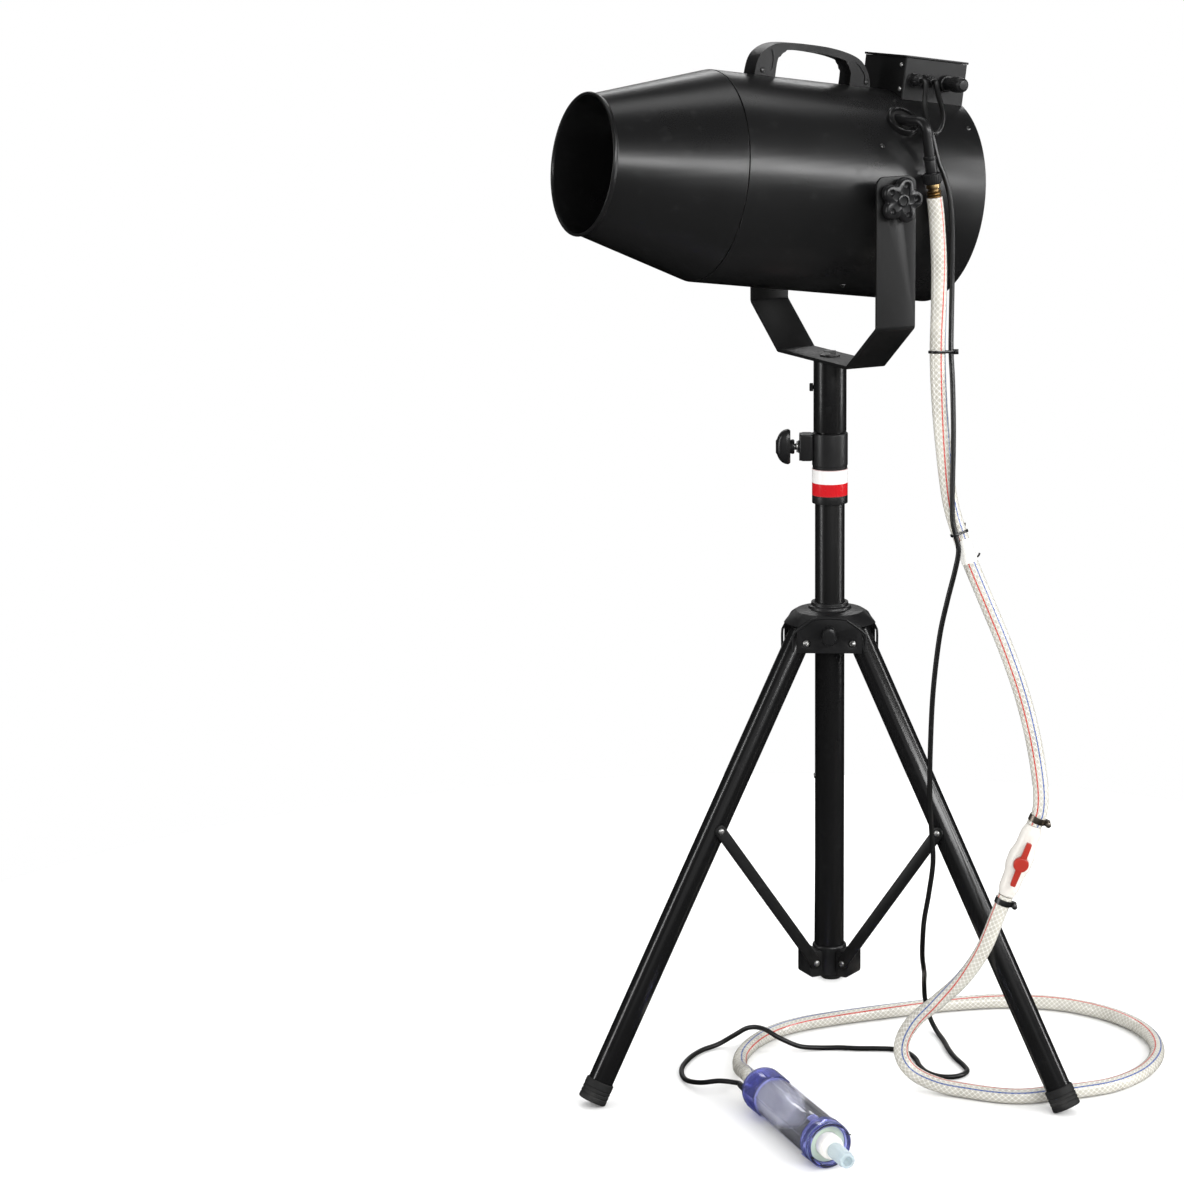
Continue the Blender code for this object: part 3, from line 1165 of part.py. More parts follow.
def build_leg(leg, hub, stand):
    turn = LEG_TURNS[leg]
    out = Vector((math.cos(turn), math.sin(turn), 0))
    pivot = out * HUB_PIVOT_R + Vector((0, 0, HUB_PIVOT_Z))
    swing = frame("leg_frame_" + leg, hub, pivot, (0, -SPREAD, turn))
    foot_r = FOOT_D / 2
    to_floor = (HUB_PIVOT_Z - foot_r * math.sin(SPREAD) + FOOT_FLAT) / math.cos(SPREAD)
    tube_end = to_floor - FOOT_SOLE - GAP
    r = LEG_D / 2
    tube = pipe(r, r - LEG_WALL, -tube_end, LEG_ABOVE, 18)
    made = solid("leg_" + leg, tube, swing, LOOKS["black_paint"])
    hole = LEG_BOLT_D / 2 + PIN_PLAY
    combine(made, rod(hole, -0.03, 0.03, 10, along((0, 1, 0))))

    cap = [
        (0, -to_floor), (foot_r - 0.001, -to_floor), (foot_r, -to_floor + 0.001),
        (foot_r, -to_floor + FOOT_LENGTH),
        (r + GAP, -to_floor + FOOT_LENGTH), (r + GAP, -to_floor + FOOT_SOLE), (0, -to_floor + FOOT_SOLE),
    ]
    bm = turned(cap, 18)
    to_swing = Matrix.Rotation(SPREAD, 4, "Y")
    floor = to_swing @ Vector((0, 0, -HUB_PIVOT_Z))
    down = to_swing @ Vector((0, 0, -1))
    geometry = bm.verts[:] + bm.edges[:] + bm.faces[:]
    cut = bmesh.ops.bisect_plane(bm, geom=geometry, plane_co=floor, plane_no=down, clear_outer=True)
    edges = [e for e in cut["geom_cut"] if isinstance(e, bmesh.types.BMEdge)]
    bmesh.ops.holes_fill(bm, edges=edges, sides=0)
    solid("foot_" + leg, bm, swing, LOOKS["rubber"])

    low = out * BRACKET_PIVOT_R + Vector((0, 0, BRACKET_PIVOT_Z))
    lean = frame("brace_frame_" + leg, stand, low, (0, BRACE_LEAN, turn))
    side = BRACE_SIDES[leg]
    half = BRACE_WIDTH / 2
    outline = arc((0, 0), half, math.pi, 2 * math.pi, 4) + arc((0, BRACE_LENGTH), half, 0, math.pi, 4)
    flat = Matrix(((1, 0, 0, 0), (0, 0, side, 0), (0, 1, 0, 0), (0, 0, 0, 1)))
    start = r + 2 * GAP
    brace = solid("brace_" + leg, slab(outline, start, start + BRACE_THICK, flat), lean, LOOKS["black_paint"])
    top = start + BRACE_THICK
    rivet = along((0, side, 0), (0, 0, BRACE_LENGTH))
    combine(brace, rod(BRACE_HEAD_D / 2, top - 0.001, top + 0.0025, 10, rivet), "UNION")
    pin = [
        (0, -start - 0.0025), (BRACE_HEAD_D / 2, -start - 0.0025), (BRACE_HEAD_D / 2, -start),
        (BRACE_PIN_D / 2, -start), (BRACE_PIN_D / 2, top), (BRACE_HEAD_D / 2, top),
        (BRACE_HEAD_D / 2, top + 0.0025), (0, top + 0.0025),
    ]
    combine(brace, turned(pin, 10, along((0, side, 0))), "UNION")


def centre_on_floor(stand, left_out):
    """Move the whole machine so that its own box stands centred on the origin."""
    bpy.context.view_layer.update()
    graph = bpy.context.evaluated_depsgraph_get()
    corners = []
    for thing in bpy.context.scene.objects:
        if thing.type not in ("MESH", "CURVE") or thing.hide_render or thing.name in left_out:
            continue
        shape = thing.evaluated_get(graph)
        mesh = shape.to_mesh()
        corners += [shape.matrix_world @ v.co for v in mesh.vertices]
        shape.to_mesh_clear()
    low = [min(c[i] for c in corners) for i in range(3)]
    high = [max(c[i] for c in corners) for i in range(3)]
    stand.location = (-(low[0] + high[0]) / 2, -(low[1] + high[1]) / 2, -low[2])
    bpy.context.view_layer.update()


ON_THE_LINE = (
    "upper_hose", "lower_hose", "pump_cable", "valve_body", "valve_lever", "cable_tie_upper",
    "cable_tie_lower", "pump_housing", "pump_rear_cap", "pump_front_ring", "pump_spout", "pump_motor", "pump_impeller",
)

clear_scene()
LOOKS = {
    "black_paint": finish("black_paint", (0.012, 0.012, 0.013), 0.42),
    "black_plastic": finish("black_plastic", (0.014, 0.014, 0.015), 0.5),
    "rubber": finish("rubber", (0.012, 0.012, 0.012), 0.8),
    "steel": finish("steel", (0.6, 0.6, 0.6), 0.3, 1.0),
    "brass": finish("brass", (0.7, 0.5, 0.22), 0.35, 1.0),
    "grey_metal": finish("grey_metal", (0.25, 0.25, 0.26), 0.45, 1.0),
    "grey_plastic": finish("grey_plastic", (0.1, 0.1, 0.11), 0.5),
    "white_plastic": finish("white_plastic", (0.82, 0.82, 0.8), 0.35),
    "red_plastic": finish("red_plastic", (0.62, 0.05, 0.02), 0.35),
    "band": finish("band", (0.75, 0.06, 0.06), 0.4),
    "clear_hose": finish("clear_hose", (0.68, 0.66, 0.6), 0.3),
    "clear_plastic": finish("clear_plastic", (0.75, 0.78, 0.88), 0.12, 0.0, 0.4),
    "blue_clear": finish("blue_clear", (0.12, 0.14, 0.55), 0.15, 0.0, 0.6),
}
STAND = frame("stand_frame", None)
MAST = frame("mast_frame", STAND)
YOKE = frame("yoke_frame", MAST)
BARREL = frame("barrel_frame", YOKE, TILT_AT, (0, TILT_REST, 0))
HUB = frame("hub_frame", STAND)
build_stand(STAND)
build_mast(MAST)
build_yoke(YOKE)
build_barrel(BARREL)
build_feed(STAND, BARREL)
build_hub(HUB)
for leg_name in LEG_TURNS:
    build_leg(leg_name, HUB, STAND)
centre_on_floor(STAND, ON_THE_LINE)
print("mast axis at", tuple(round(v, 5) for v in STAND.location))
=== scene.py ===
"""The looks of a foam machine on its tripod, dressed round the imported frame, in metres with +Z up.

The nozzle points along -X. The inlet, the glands and the hose are on the -Y side.
"""

import math

import bmesh
import bpy
from mathutils import Matrix, Vector


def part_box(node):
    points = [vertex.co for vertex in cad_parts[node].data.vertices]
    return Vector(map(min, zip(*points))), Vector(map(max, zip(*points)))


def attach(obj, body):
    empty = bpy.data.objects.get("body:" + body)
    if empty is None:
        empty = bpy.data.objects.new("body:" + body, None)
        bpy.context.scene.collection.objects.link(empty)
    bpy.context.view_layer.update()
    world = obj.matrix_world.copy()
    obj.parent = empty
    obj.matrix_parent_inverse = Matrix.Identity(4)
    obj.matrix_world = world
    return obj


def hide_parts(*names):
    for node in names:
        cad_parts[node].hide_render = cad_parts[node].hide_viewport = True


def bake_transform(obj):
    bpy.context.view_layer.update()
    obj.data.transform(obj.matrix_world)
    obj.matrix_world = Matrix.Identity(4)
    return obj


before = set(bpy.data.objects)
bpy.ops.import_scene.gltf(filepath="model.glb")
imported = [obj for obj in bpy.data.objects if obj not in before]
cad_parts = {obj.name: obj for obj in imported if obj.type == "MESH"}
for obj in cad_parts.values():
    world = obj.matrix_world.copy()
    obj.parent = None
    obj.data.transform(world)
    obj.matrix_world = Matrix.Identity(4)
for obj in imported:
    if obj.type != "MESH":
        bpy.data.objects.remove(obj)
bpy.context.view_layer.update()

COLUMN_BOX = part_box("column_tube")
MAST = Vector(((COLUMN_BOX[0].x + COLUMN_BOX[1].x) / 2, (COLUMN_BOX[0].y + COLUMN_BOX[1].y) / 2, 0))


def outward(turn):
    """The level direction at a turn about the mast."""
    return Vector((math.cos(turn), math.sin(turn), 0))


# Sizes that the solids have too
GAP = 0.0003
TUBE_WALL = 0.0015
COLUMN_R, COLUMN_BOTTOM, COLUMN_TOP = 0.0175, 0.119, 0.740
MAST_R, MAST_BOTTOM, MAST_TOP = 0.0155, 0.30, 0.853
COLLAR_R = 0.021
COLLAR_BOTTOM, CLAMP_TOP = 0.695, 0.7785
BAND_BOTTOM, BAND_TOP, BAND_SPLIT = 0.7045, 0.736, 0.7195
LUG_TURN = math.radians(150.5)
LUG_OUT = outward(LUG_TURN)
LUG_REACH, LUG_WIDTH, LUG_HEIGHT, LUG_Z = 0.036, 0.022, 0.031, 0.7615
YOKE_HALF, YOKE_BASE, YOKE_BAR, YOKE_THICK = 0.150, 0.0825, 0.050, 0.004
YOKE_BASE_Z, YOKE_BEND_Z, YOKE_TOP_Z = 0.865, 0.9175, 1.089
SOCKET_R, SOCKET_LOW, SOCKET_SCREW_Z = 0.01935, 0.780, 0.832
TILT_Z, TILT_REST, TILT_HOLE_R = 1.063, math.radians(8), 0.0052
BARREL_R, BARREL_WALL = 0.120, 0.0015
SEAM_X, REAR_X, MOUTH_X, MOUTH_R = -0.172, 0.135, -0.320, 0.078
HUB_Z, HUB_PIVOT_R, HUB_BOTTOM, HUB_TOP = 0.533, 0.0431, 0.5215, 0.576
HUB_FACE_R, HUB_ROUND_R = 0.040, 0.0600
HUB_BOLT_HOLE_R = 0.0032
HUB_KNOB_OUT, HUB_KNOB_Z = outward(math.radians(240)), 0.541
SPREAD = math.radians(27.85)
LEG_TURNS = {"front": math.radians(180), "near": math.radians(300), "far": math.radians(60)}
BRACE_SIDES = {"front": 1, "near": -1, "far": 1}
LEG_R, LEG_ABOVE, FOOT_R, FOOT_LENGTH = 0.015, 0.012, 0.017, 0.026
LEG_LENGTH = (HUB_Z - FOOT_R * math.sin(SPREAD) + 0.002) / math.cos(SPREAD)
BRACE_DOWN_LEG, BRACE_THICK = 0.243, 0.003
BRACKET_R, BRACKET_Z, BRACKET_BOTTOM, BRACKET_TOP = 0.028, 0.135, 0.114, 0.152
BRACE_OUT = HUB_PIVOT_R + BRACE_DOWN_LEG * math.sin(SPREAD) - BRACKET_R
BRACE_UP = HUB_Z - BRACE_DOWN_LEG * math.cos(SPREAD) - BRACKET_Z
BRACE_LENGTH = math.hypot(BRACE_OUT, BRACE_UP)
BRACE_LEAN = math.atan2(BRACE_OUT, BRACE_UP)
HOSE_D, CABLE_D, LEAD_D = 0.018, 0.006, 0.006
ELBOW_START = Vector((0.0289, -0.0767, 0.0880))
ELBOW_CORNER = Vector((0.0471, -0.1335, 1.1462))
ELBOW_DOWN = Vector((0.1385, 0, -0.9904)).normalized()
ELBOW_DROP, ELBOW_NUT, TAIL_LENGTH = 0.0583, 0.012, 0.015
BOX_FRONT, BOX_LENGTH, BOX_HALF, BOX_LOW, BOX_TOP = 0.052, 0.082, 0.047, 0.105, 0.158
GLAND_UP, GLAND_X, SOCKET_X = 0.134, (0.0640, 0.0805), 0.1065
GLAND_REACH, SOCKET_REACH = 0.018, 0.042
PORT_X, PORT_TURN, PORT_R, PORT_HOLE_R = 0.034, 45.4, 0.020, 0.015
TIES = (0.8866, 0.6816)
VALVE_TOP = Vector((0.1253, -0.2546, 0.3485))
VALVE_END = Vector((0.0972, -0.2400, 0.2640))
PUMP_R, PUMP_LENGTH, PUMP_YAW = 0.027, 0.200, math.radians(-95.6)
PUMP_REAR = Vector((-0.1495, -0.1000, PUMP_R))
PUMP_AHEAD = outward(PUMP_YAW)
PUMP_BACK = PUMP_REAR - PUMP_AHEAD * (0.012 + GAP)
SLEEVE_END = PUMP_REAR - Vector((-PUMP_AHEAD.y, PUMP_AHEAD.x, 0)) * 0.020 - PUMP_AHEAD * (0.014 + GAP)
HOSE_TOP = ELBOW_CORNER + ELBOW_DOWN * (ELBOW_DROP + ELBOW_NUT + TAIL_LENGTH + 2 * GAP)

# Routes, as points in millimetres from the mast's axis at floor level
HOSE_LIES, CABLE_LIES = 9.2, 3.3


def millimetres(points, *height):
    return [Vector((*point, *height)) * 0.001 for point in points]


HOSE_HANG = millimetres([
    (63.4, -133.5, 1023), (64.8, -135, 985), (62.8, -138.5, 940), (59.2, -142.5, 886.6),
    (58.8, -147.8, 832.3), (60, -156, 775.8), (63.5, -165, 719), (70, -175.2, 681.6), (80, -186, 645),
    (93, -199, 603), (107.5, -216, 553), (120.5, -231.5, 500), (128.5, -245.5, 446.3), (132.5, -255, 395),
])
HOSE_FLOOR = millimetres([
    (90.5, -236.2, 243), (77.5, -224.5, 197), (65.5, -200, 156), (52, -168, 121), (37.5, -141, 92),
    (29.5, -126, 65), (30, -123, 41), (40, -134, 22), (60, -158, 11.5),
]) + millimetres([
    (86, -189), (112, -218), (136.5, -232), (165, -237), (201, -245), (245.5, -247.5), (291, -234),
    (330, -208), (359, -176), (379, -137), (388, -96), (386, -55), (374, -16), (352, 20), (321, 48),
    (284, 69), (242, 83), (198, 93), (124, 103.5), (65, 109.5), (19, 110), (-23, 100), (-63, 77),
], HOSE_LIES) + millimetres([
    (-98, 43, 9.6), (-122, 2, 13), (-135, -34, 20.5), (-143.5, -61, 26.5),
])
PUMP_LINE = millimetres([
    (79.5, -79, 1181), (72.5, -89, 1168), (66, -100, 1156), (62.5, -112, 1141), (64.8, -118, 1129),
    (69.4, -124, 1101.7), (74.5, -128, 1085), (79.2, -131, 1066), (81.8, -133, 1044), (82.3, -135, 1011.6),
    (80, -138.5, 960), (75.5, -145, 915), (72.2, -150.5, 886.6), (70, -158, 850), (65.5, -168, 795),
    (60, -176, 735), (57.5, -181, 700), (59.5, -185, 681.6), (61.5, -188, 664), (58, -186, 640),
    (52, -180, 605), (46, -173.5, 562), (41, -169, 500), (39.5, -166.5, 440), (40, -164.5, 380),
    (44, -162.8, 327.2), (48, -160, 290), (47, -153, 250), (50, -138, 213), (62, -115, 180), (84, -78, 145),
    (111, -37, 112), (138, 6, 88), (156, 36, 63), (165, 48, 37), (168, 41, 15), (165, 20, 4.8),
]) + millimetres([
    (157, -9), (145, -42), (137, -70), (132, -98), (124.5, -116.5), (106.5, -124.5), (88.5, -116.5),
    (81, -98), (84, -74), (92, -52), (95, -30), (87, -9), (69, 4), (49, 15), (30, 28), (8, 39),
], CABLE_LIES) + millimetres([
    (-16, 46, 7), (-38, 56, 18), (-54, 70, 28.5), (-66, 85, 27), (-79, 97, 16), (-98, 104, 5),
]) + millimetres([
    (-125, 98), (-152, 79), (-177, 50),
], CABLE_LIES) + millimetres([
    (-189, 16, 4), (-187, -18, 11), (-177, -50, 22),
])
FAN_LEAD = millimetres([
    (95, -77, 1180), (92.5, -86, 1169), (92.5, -93, 1158), (90.5, -99, 1147), (85.5, -104, 1137.5),
    (78.5, -108, 1131.6), (70, -109.5, 1131), (62, -108, 1135.5), (56, -103.5, 1141), (52, -95, 1142),
    (50, -86, 1140), (49, -80, 1138.5),
])


# ---------------------------------------------------------------- shader nodes


class Value:
    """A shader socket that Python's own operators work on."""

    def __init__(self, look, socket):
        self.look, self.socket = look, socket

    def math(self, operation, *others):
        values = dict(enumerate((self, *others)))
        return self.look.node("ShaderNodeMath", {"operation": operation}, values)

    def __add__(self, other):
        return self.math("ADD", other)

    def __sub__(self, other):
        return self.math("SUBTRACT", other)

    def __rsub__(self, other):
        return (self * -1) + other

    def __mul__(self, other):
        return self.math("MULTIPLY", other)

    def __truediv__(self, other):
        return self.math("DIVIDE", other)

    def __gt__(self, other):
        return self.math("GREATER_THAN", other)

    __radd__, __rmul__ = __add__, __mul__

    def fraction(self):
        return self.math("FRACT")

    def size(self):
        return self.math("ABSOLUTE")

    def ramp(self, low, high):
        """0 up to low, 1 from high on, smooth between."""
        smooth_step = {"interpolation_type": "SMOOTHSTEP"}
        return self.look.node("ShaderNodeMapRange", smooth_step, {0: self, 1: low, 2: high})


class Nodes:
    """A tree of nodes, of a material or of a shape."""

    def feed(self, socket, value):
        if isinstance(value, Value):
            self.tree.links.new(value.socket, socket)
        elif isinstance(value, tuple) and len(value) == 3 and len(socket.default_value) == 4:
            socket.default_value = (*value, 1)
        else:
            socket.default_value = value

    def node(self, kind, settings=(), values=(), out=0):
        made = self.tree.nodes.new(kind)
        for key, value in dict(settings).items():
            setattr(made, key, value)
        for key, value in dict(values).items():
            self.feed(made.inputs[key], value)
        return Value(self, made.outputs[out])


class Look(Nodes):
    """One material and the nodes that make it."""

    def __init__(self, name, **settings):
        self.material = bpy.data.materials.new(name)
        self.material.use_nodes = True
        self.tree = self.material.node_tree
        self.shader = self.tree.nodes["Principled BSDF"]
        for key, value in settings.items():
            self.give(key.replace("_", " ").title().replace("Ior", "IOR"), value)

    def give(self, name, value):
        self.feed(self.shader.inputs[name], value)

    def place(self, out="Object"):
        return self.node("ShaderNodeTexCoord", out=out)

    def parts(self, vector):
        split = self.node("ShaderNodeSeparateXYZ", (), {0: vector}).socket.node
        return [Value(self, o) for o in split.outputs]

    def noise(self, scale, detail=3, vector=None):
        values = {"Vector": vector or self.place(), "Scale": scale, "Detail": detail}
        return self.node("ShaderNodeTexNoise", (), values)

    def stretched(self, scale):
        return self.node("ShaderNodeMapping", (), {"Vector": self.place(), "Scale": scale})

    def mix(self, factor, first, second):
        return self.node("ShaderNodeMix", {"data_type": "RGBA"}, {0: factor, 6: first, 7: second}, 2)

    def bump(self, height, depth, strength=1.0, under=None):
        values = {"Height": height, "Distance": depth, "Strength": strength}
        if under:
            values["Normal"] = under
        return self.node("ShaderNodeBump", (), values)


def powder_coat(name, colour, roughness, grain=1100, depth=0.00006, streak=0.0):
    """Baked black paint on metal: fine orange peel, faint cloudiness in its gloss, a little dust."""
    look = Look(name, specular_ior_level=0.45)
    cloud = look.noise(9, 4)
    fine = look.noise(grain, 2)
    dust = look.noise(55, 6).ramp(0.58, 0.80)
    paler = tuple(c * 1.9 + 0.004 for c in colour)
    look.give("Base Color", look.mix(dust * 0.45 + cloud * 0.2, colour, paler))
    look.give("Roughness", (cloud - 0.5) * 0.16 + fine * 0.05 + dust * 0.06 + roughness)
    rolled = look.noise(3, 2, look.stretched((1, 1, 12)))
    look.give("Normal", look.bump(rolled, streak, 0.5, look.bump(fine, depth, 0.6)))
    return look.material


def moulded(name, colour, roughness, grain=1700, depth=0.00005, coat=0.0):
    """Moulded plastic with a fine spark-eroded grain."""
    look = Look(name, coat_weight=coat, coat_roughness=0.12)
    cells = look.node("ShaderNodeTexVoronoi", (), {"Vector": look.place(), "Scale": grain})
    cloud = look.noise(22, 4)
    paler = tuple(min(1, c * 1.35 + 0.003) for c in colour)
    look.give("Base Color", look.mix(cloud.ramp(0.35, 0.75), colour, paler))
    look.give("Roughness", (cloud - 0.5) * 0.14 + roughness)
    look.give("Normal", look.bump(cells, depth, 0.7))
    return look.material


def bare_metal(name, colour, roughness, brushed=(1, 1, 1), tarnish=0.3):
    """Plated or turned metal with fine tool marks and a cloudy tarnish."""
    look = Look(name, metallic=1.0)
    marks = look.noise(900, 3, look.stretched(brushed))
    cloud = look.noise(60, 5)
    darker = tuple(c * (1 - tarnish) for c in colour)
    look.give("Base Color", look.mix(cloud.ramp(0.40, 0.72), colour, darker))
    look.give("Roughness", marks * 0.16 + cloud * 0.12 + (roughness - 0.12))
    look.give("Normal", look.bump(marks, 0.00004, 0.5))
    return look.material


def rubber(name):
    """Matt rubber, scuffed paler in places."""
    look = Look(name, specular_ior_level=0.35)
    grain = look.noise(600, 4)
    scuff = look.noise(40, 6).ramp(0.50, 0.78)
    look.give("Base Color", look.mix(scuff, (0.011, 0.011, 0.011), (0.032, 0.031, 0.030)))
    look.give("Roughness", scuff * 0.14 + grain * 0.08 + 0.62)
    look.give("Normal", look.bump(grain, 0.00012, 0.6))
    return look.material


def two_colour_band(name):
    """White above and red below, printed on a plain glossy sleeve and left bare."""
    look = Look(name, specular_ior_level=0.3)
    height = look.parts(look.place())[2]
    red = (BAND_SPLIT - height).ramp(-0.0001, 0.0001)
    rim_at = (BAND_TOP - BAND_BOTTOM) / 2 - 0.00075
    rim = (height - (BAND_TOP + BAND_BOTTOM) / 2).size().ramp(rim_at - 0.0002, rim_at)
    scuff = look.noise(300, 4).ramp(0.62, 0.80)
    colour = look.mix(red, (0.66, 0.65, 0.64), (0.44, 0.006, 0.010))
    look.give("Base Color", look.mix(rim * 0.5 + scuff * 0.12, colour, (0.30, 0.05, 0.05)))
    look.give("Roughness", scuff * 0.2 + 0.24)
    look.give("Normal", look.bump(look.noise(250, 2), 0.00004, 0.4))
    return look.material


BRAID_STRANDS, BRAID_PITCH = 9, 0.0070
STRIPE_TURN, STRIPE_HALF = 0.062, 0.017     # of a whole turn round the hose


def braided_hose(name):
    """Clear hose with a white diamond braid under its skin, and a red and a blue line along it."""
    look = Look(name, coat_weight=0.55, coat_roughness=0.10, ior=1.46, subsurface_weight=0.12,
                subsurface_radius=(0.004, 0.004, 0.003))
    around, along_it, _ = look.parts(look.place("UV"))
    strands, rows = around * BRAID_STRANDS, along_it / BRAID_PITCH
    wander = (look.noise(160, 2) - 0.5) * 0.16
    first = ((strands + rows + wander).fraction() - 0.5).size().ramp(0.30, 0.42)
    second = ((strands - rows + wander).fraction() - 0.5).size().ramp(0.30, 0.42)
    braid = first.math("MAXIMUM", second)
    crossed = first * second
    wall = look.mix(look.noise(35, 4).ramp(0.35, 0.7), (0.42, 0.40, 0.35), (0.52, 0.50, 0.44))
    yarn = look.mix(crossed, (0.62, 0.61, 0.565), (0.80, 0.79, 0.75))
    colour = look.mix(braid * 0.80, wall, yarn)
    broken = (rows.fraction() - 0.5).size().ramp(0.10, 0.35) * 0.25
    for middle, paint in ((-STRIPE_TURN, (0.50, 0.028, 0.020)), (STRIPE_TURN, (0.035, 0.085, 0.30))):
        off = ((around - middle + 0.5).fraction() - 0.5).size()
        line = 1 - off.ramp(STRIPE_HALF * 0.75, STRIPE_HALF)
        colour = look.mix(line * (1 - broken), colour, paint)
    look.give("Base Color", colour)
    look.give("Roughness", look.noise(90, 3) * 0.12 + 0.22)
    look.give("Normal", look.bump(braid + crossed * 0.4, 0.00022, 0.7))
    return look.material


def cable_sheath(name, colour, roughness):
    """A drawn plastic sheath with faint rings along it and some dust."""
    look = Look(name, coat_weight=0.15, coat_roughness=0.2)
    _, along_it, _ = look.parts(look.place("UV"))
    ring = look.node("ShaderNodeTexNoise", {"noise_dimensions": "1D"}, {"W": along_it, "Scale": 260})
    dust = look.noise(120, 5).ramp(0.55, 0.8)
    look.give("Base Color", look.mix(dust * 0.5, colour, tuple(c * 2.6 for c in colour)))
    look.give("Roughness", dust * 0.15 + ring * 0.06 + roughness)
    look.give("Normal", look.bump(ring, 0.00008, 0.5, look.bump(look.noise(1500, 2), 0.00003)))
    return look.material


def clear_plastic(name, tint, roughness, see_through=0.92):
    """Clear or milky plastic with flow marks and a little haze."""
    look = Look(name, ior=1.46, transmission_weight=see_through, coat_weight=0.3, coat_roughness=0.05)
    flow = look.noise(28, 3, look.stretched((1, 0.3, 1)))
    haze = look.noise(240, 5).ramp(0.5, 0.8)
    look.give("Base Color", look.mix(haze * 0.35, tint, tuple(c * 0.86 for c in tint)))
    look.give("Roughness", haze * 0.10 + flow * 0.05 + roughness)
    look.give("Normal", look.bump(flow, 0.0004, 0.35))
    return look.material


def studio_floor(name, colour):
    """A plain matt floor, hardly uneven in its tone."""
    look = Look(name, specular_ior_level=0.2)
    greyer = tuple(c * 0.985 for c in colour)
    look.give("Base Color", look.mix(look.noise(1.5, 3) * 0.3, colour, greyer))
    look.give("Roughness", look.noise(12, 3) * 0.08 + 0.6)
    return look.material


LOOKS = {
    "shell": powder_coat("satin_black_shell", (0.0065, 0.0065, 0.0067), 0.27, 1300, 0.00004, 0.0006),
    "bracket": powder_coat("matt_black_bracket", (0.005, 0.005, 0.0052), 0.42, 1000, 0.00006),
    "tube": powder_coat("satin_black_tube", (0.005, 0.005, 0.0052), 0.27, 1500, 0.00003),
    "leg": powder_coat("gloss_black_leg", (0.005, 0.005, 0.0052), 0.18, 1500, 0.00003),
    "moulded": moulded("moulded_black", (0.007, 0.007, 0.0074), 0.36),
    "knob": moulded("moulded_black_knob", (0.006, 0.006, 0.0064), 0.30),
    "grey": moulded("moulded_dark_grey", (0.09, 0.09, 0.095), 0.5),
    "white": moulded("moulded_white", (0.66, 0.65, 0.62), 0.30, 900, 0.00003, 0.3),
    "red": moulded("moulded_red", (0.32, 0.016, 0.007), 0.34, 900, 0.00003),
    "rubber": rubber("black_rubber"),
    "zinc": bare_metal("zinc_plate", (0.92, 0.92, 0.90), 0.44),
    "old_steel": bare_metal("old_steel", (0.36, 0.31, 0.26), 0.38),
    "dark_zinc": bare_metal("dark_zinc_plate", (0.16, 0.16, 0.16), 0.42),
    "brass": bare_metal("turned_brass", (0.44, 0.31, 0.15), 0.36, (1, 1, 8)),
    "motor": bare_metal("motor_case", (0.30, 0.30, 0.31), 0.42, (8, 1, 1)),
    "net": bare_metal("net_wire", (0.45, 0.45, 0.44), 0.4),
    "band": two_colour_band("white_and_red_band"),
    "hose": braided_hose("braided_clear_hose"),
    "cable": cable_sheath("black_cable_sheath", (0.006, 0.006, 0.006), 0.34),
    "clear": clear_plastic("clear_plastic", (0.90, 0.91, 0.98), 0.05, 0.96),
    "blue": clear_plastic("blue_clear_plastic", (0.36, 0.38, 0.86), 0.08, 0.92),
    "milky": clear_plastic("milky_plastic", (0.74, 0.71, 0.66), 0.26, 0.15),
    "can": moulded("pump_can", (0.40, 0.40, 0.47), 0.24, 900, 0.00003, 0.5),
    "green_grey": moulded("moulded_green_grey", (0.42, 0.50, 0.40), 0.4),
    "pale": clear_plastic("pale_clear_plastic", (0.72, 0.82, 0.86), 0.14, 0.6),
}


# ---------------------------------------------------------------- shapes

STAND = Matrix.Translation(MAST)
TILT = Vector((0, 0, TILT_Z))
LEVEL = Matrix.Translation(MAST + TILT)
BARREL = LEVEL @ Matrix.Rotation(TILT_REST, 4, "Y")
PUMP = STAND @ Matrix.Translation(PUMP_REAR) @ Matrix.Rotation(PUMP_YAW, 4, "Z")


def along(axis, place=(0, 0, 0)):
    """A matrix that takes +Z to axis and the origin to place."""
    return Matrix.Translation(place) @ Vector(axis).to_track_quat("Z", "Y").to_matrix().to_4x4()


def axes(first, second, third, place=(0, 0, 0)):
    """A matrix that takes +X, +Y and +Z to three directions and the origin to place."""
    matrix = Matrix((first, second, third)).transposed().to_4x4()
    matrix.translation = place
    return matrix


def spun(degrees, axis="Z"):
    return Matrix.Rotation(math.radians(degrees), 4, axis)


LENGTHWAYS = along((1, 0, 0))
SIDE_ON = axes((1, 0, 0), (0, 0, 1), (0, -1, 0))


def arc(centre, radius, start, end, steps):
    """Points of an arc, with its turns in degrees."""
    turns = (math.radians(start + (end - start) * k / steps) for k in range(steps + 1))
    return [(centre[0] + radius * math.cos(t), centre[1] + radius * math.sin(t)) for t in turns]


def eased(outline, radius, steps=3):
    """A closed outline with its corners rounded, apart from those on the axis and the slight ones."""
    fine, count = [], len(outline)
    for k, spot in enumerate(outline):
        here = Vector(spot)
        into, out = Vector(outline[k - 1]) - here, Vector(outline[(k + 1) % count]) - here
        if here.x == 0 or math.pi - into.angle(out) < 0.25:
            fine.append(tuple(here))
            continue
        cut = min(radius, into.length * 0.45, out.length * 0.45)
        first, last = here + into.normalized() * cut, here + out.normalized() * cut
        for n in range(steps + 1):
            t = n / steps
            fine.append(tuple(first * (1 - t) ** 2 + here * 2 * t * (1 - t) + last * t * t))
    return fine


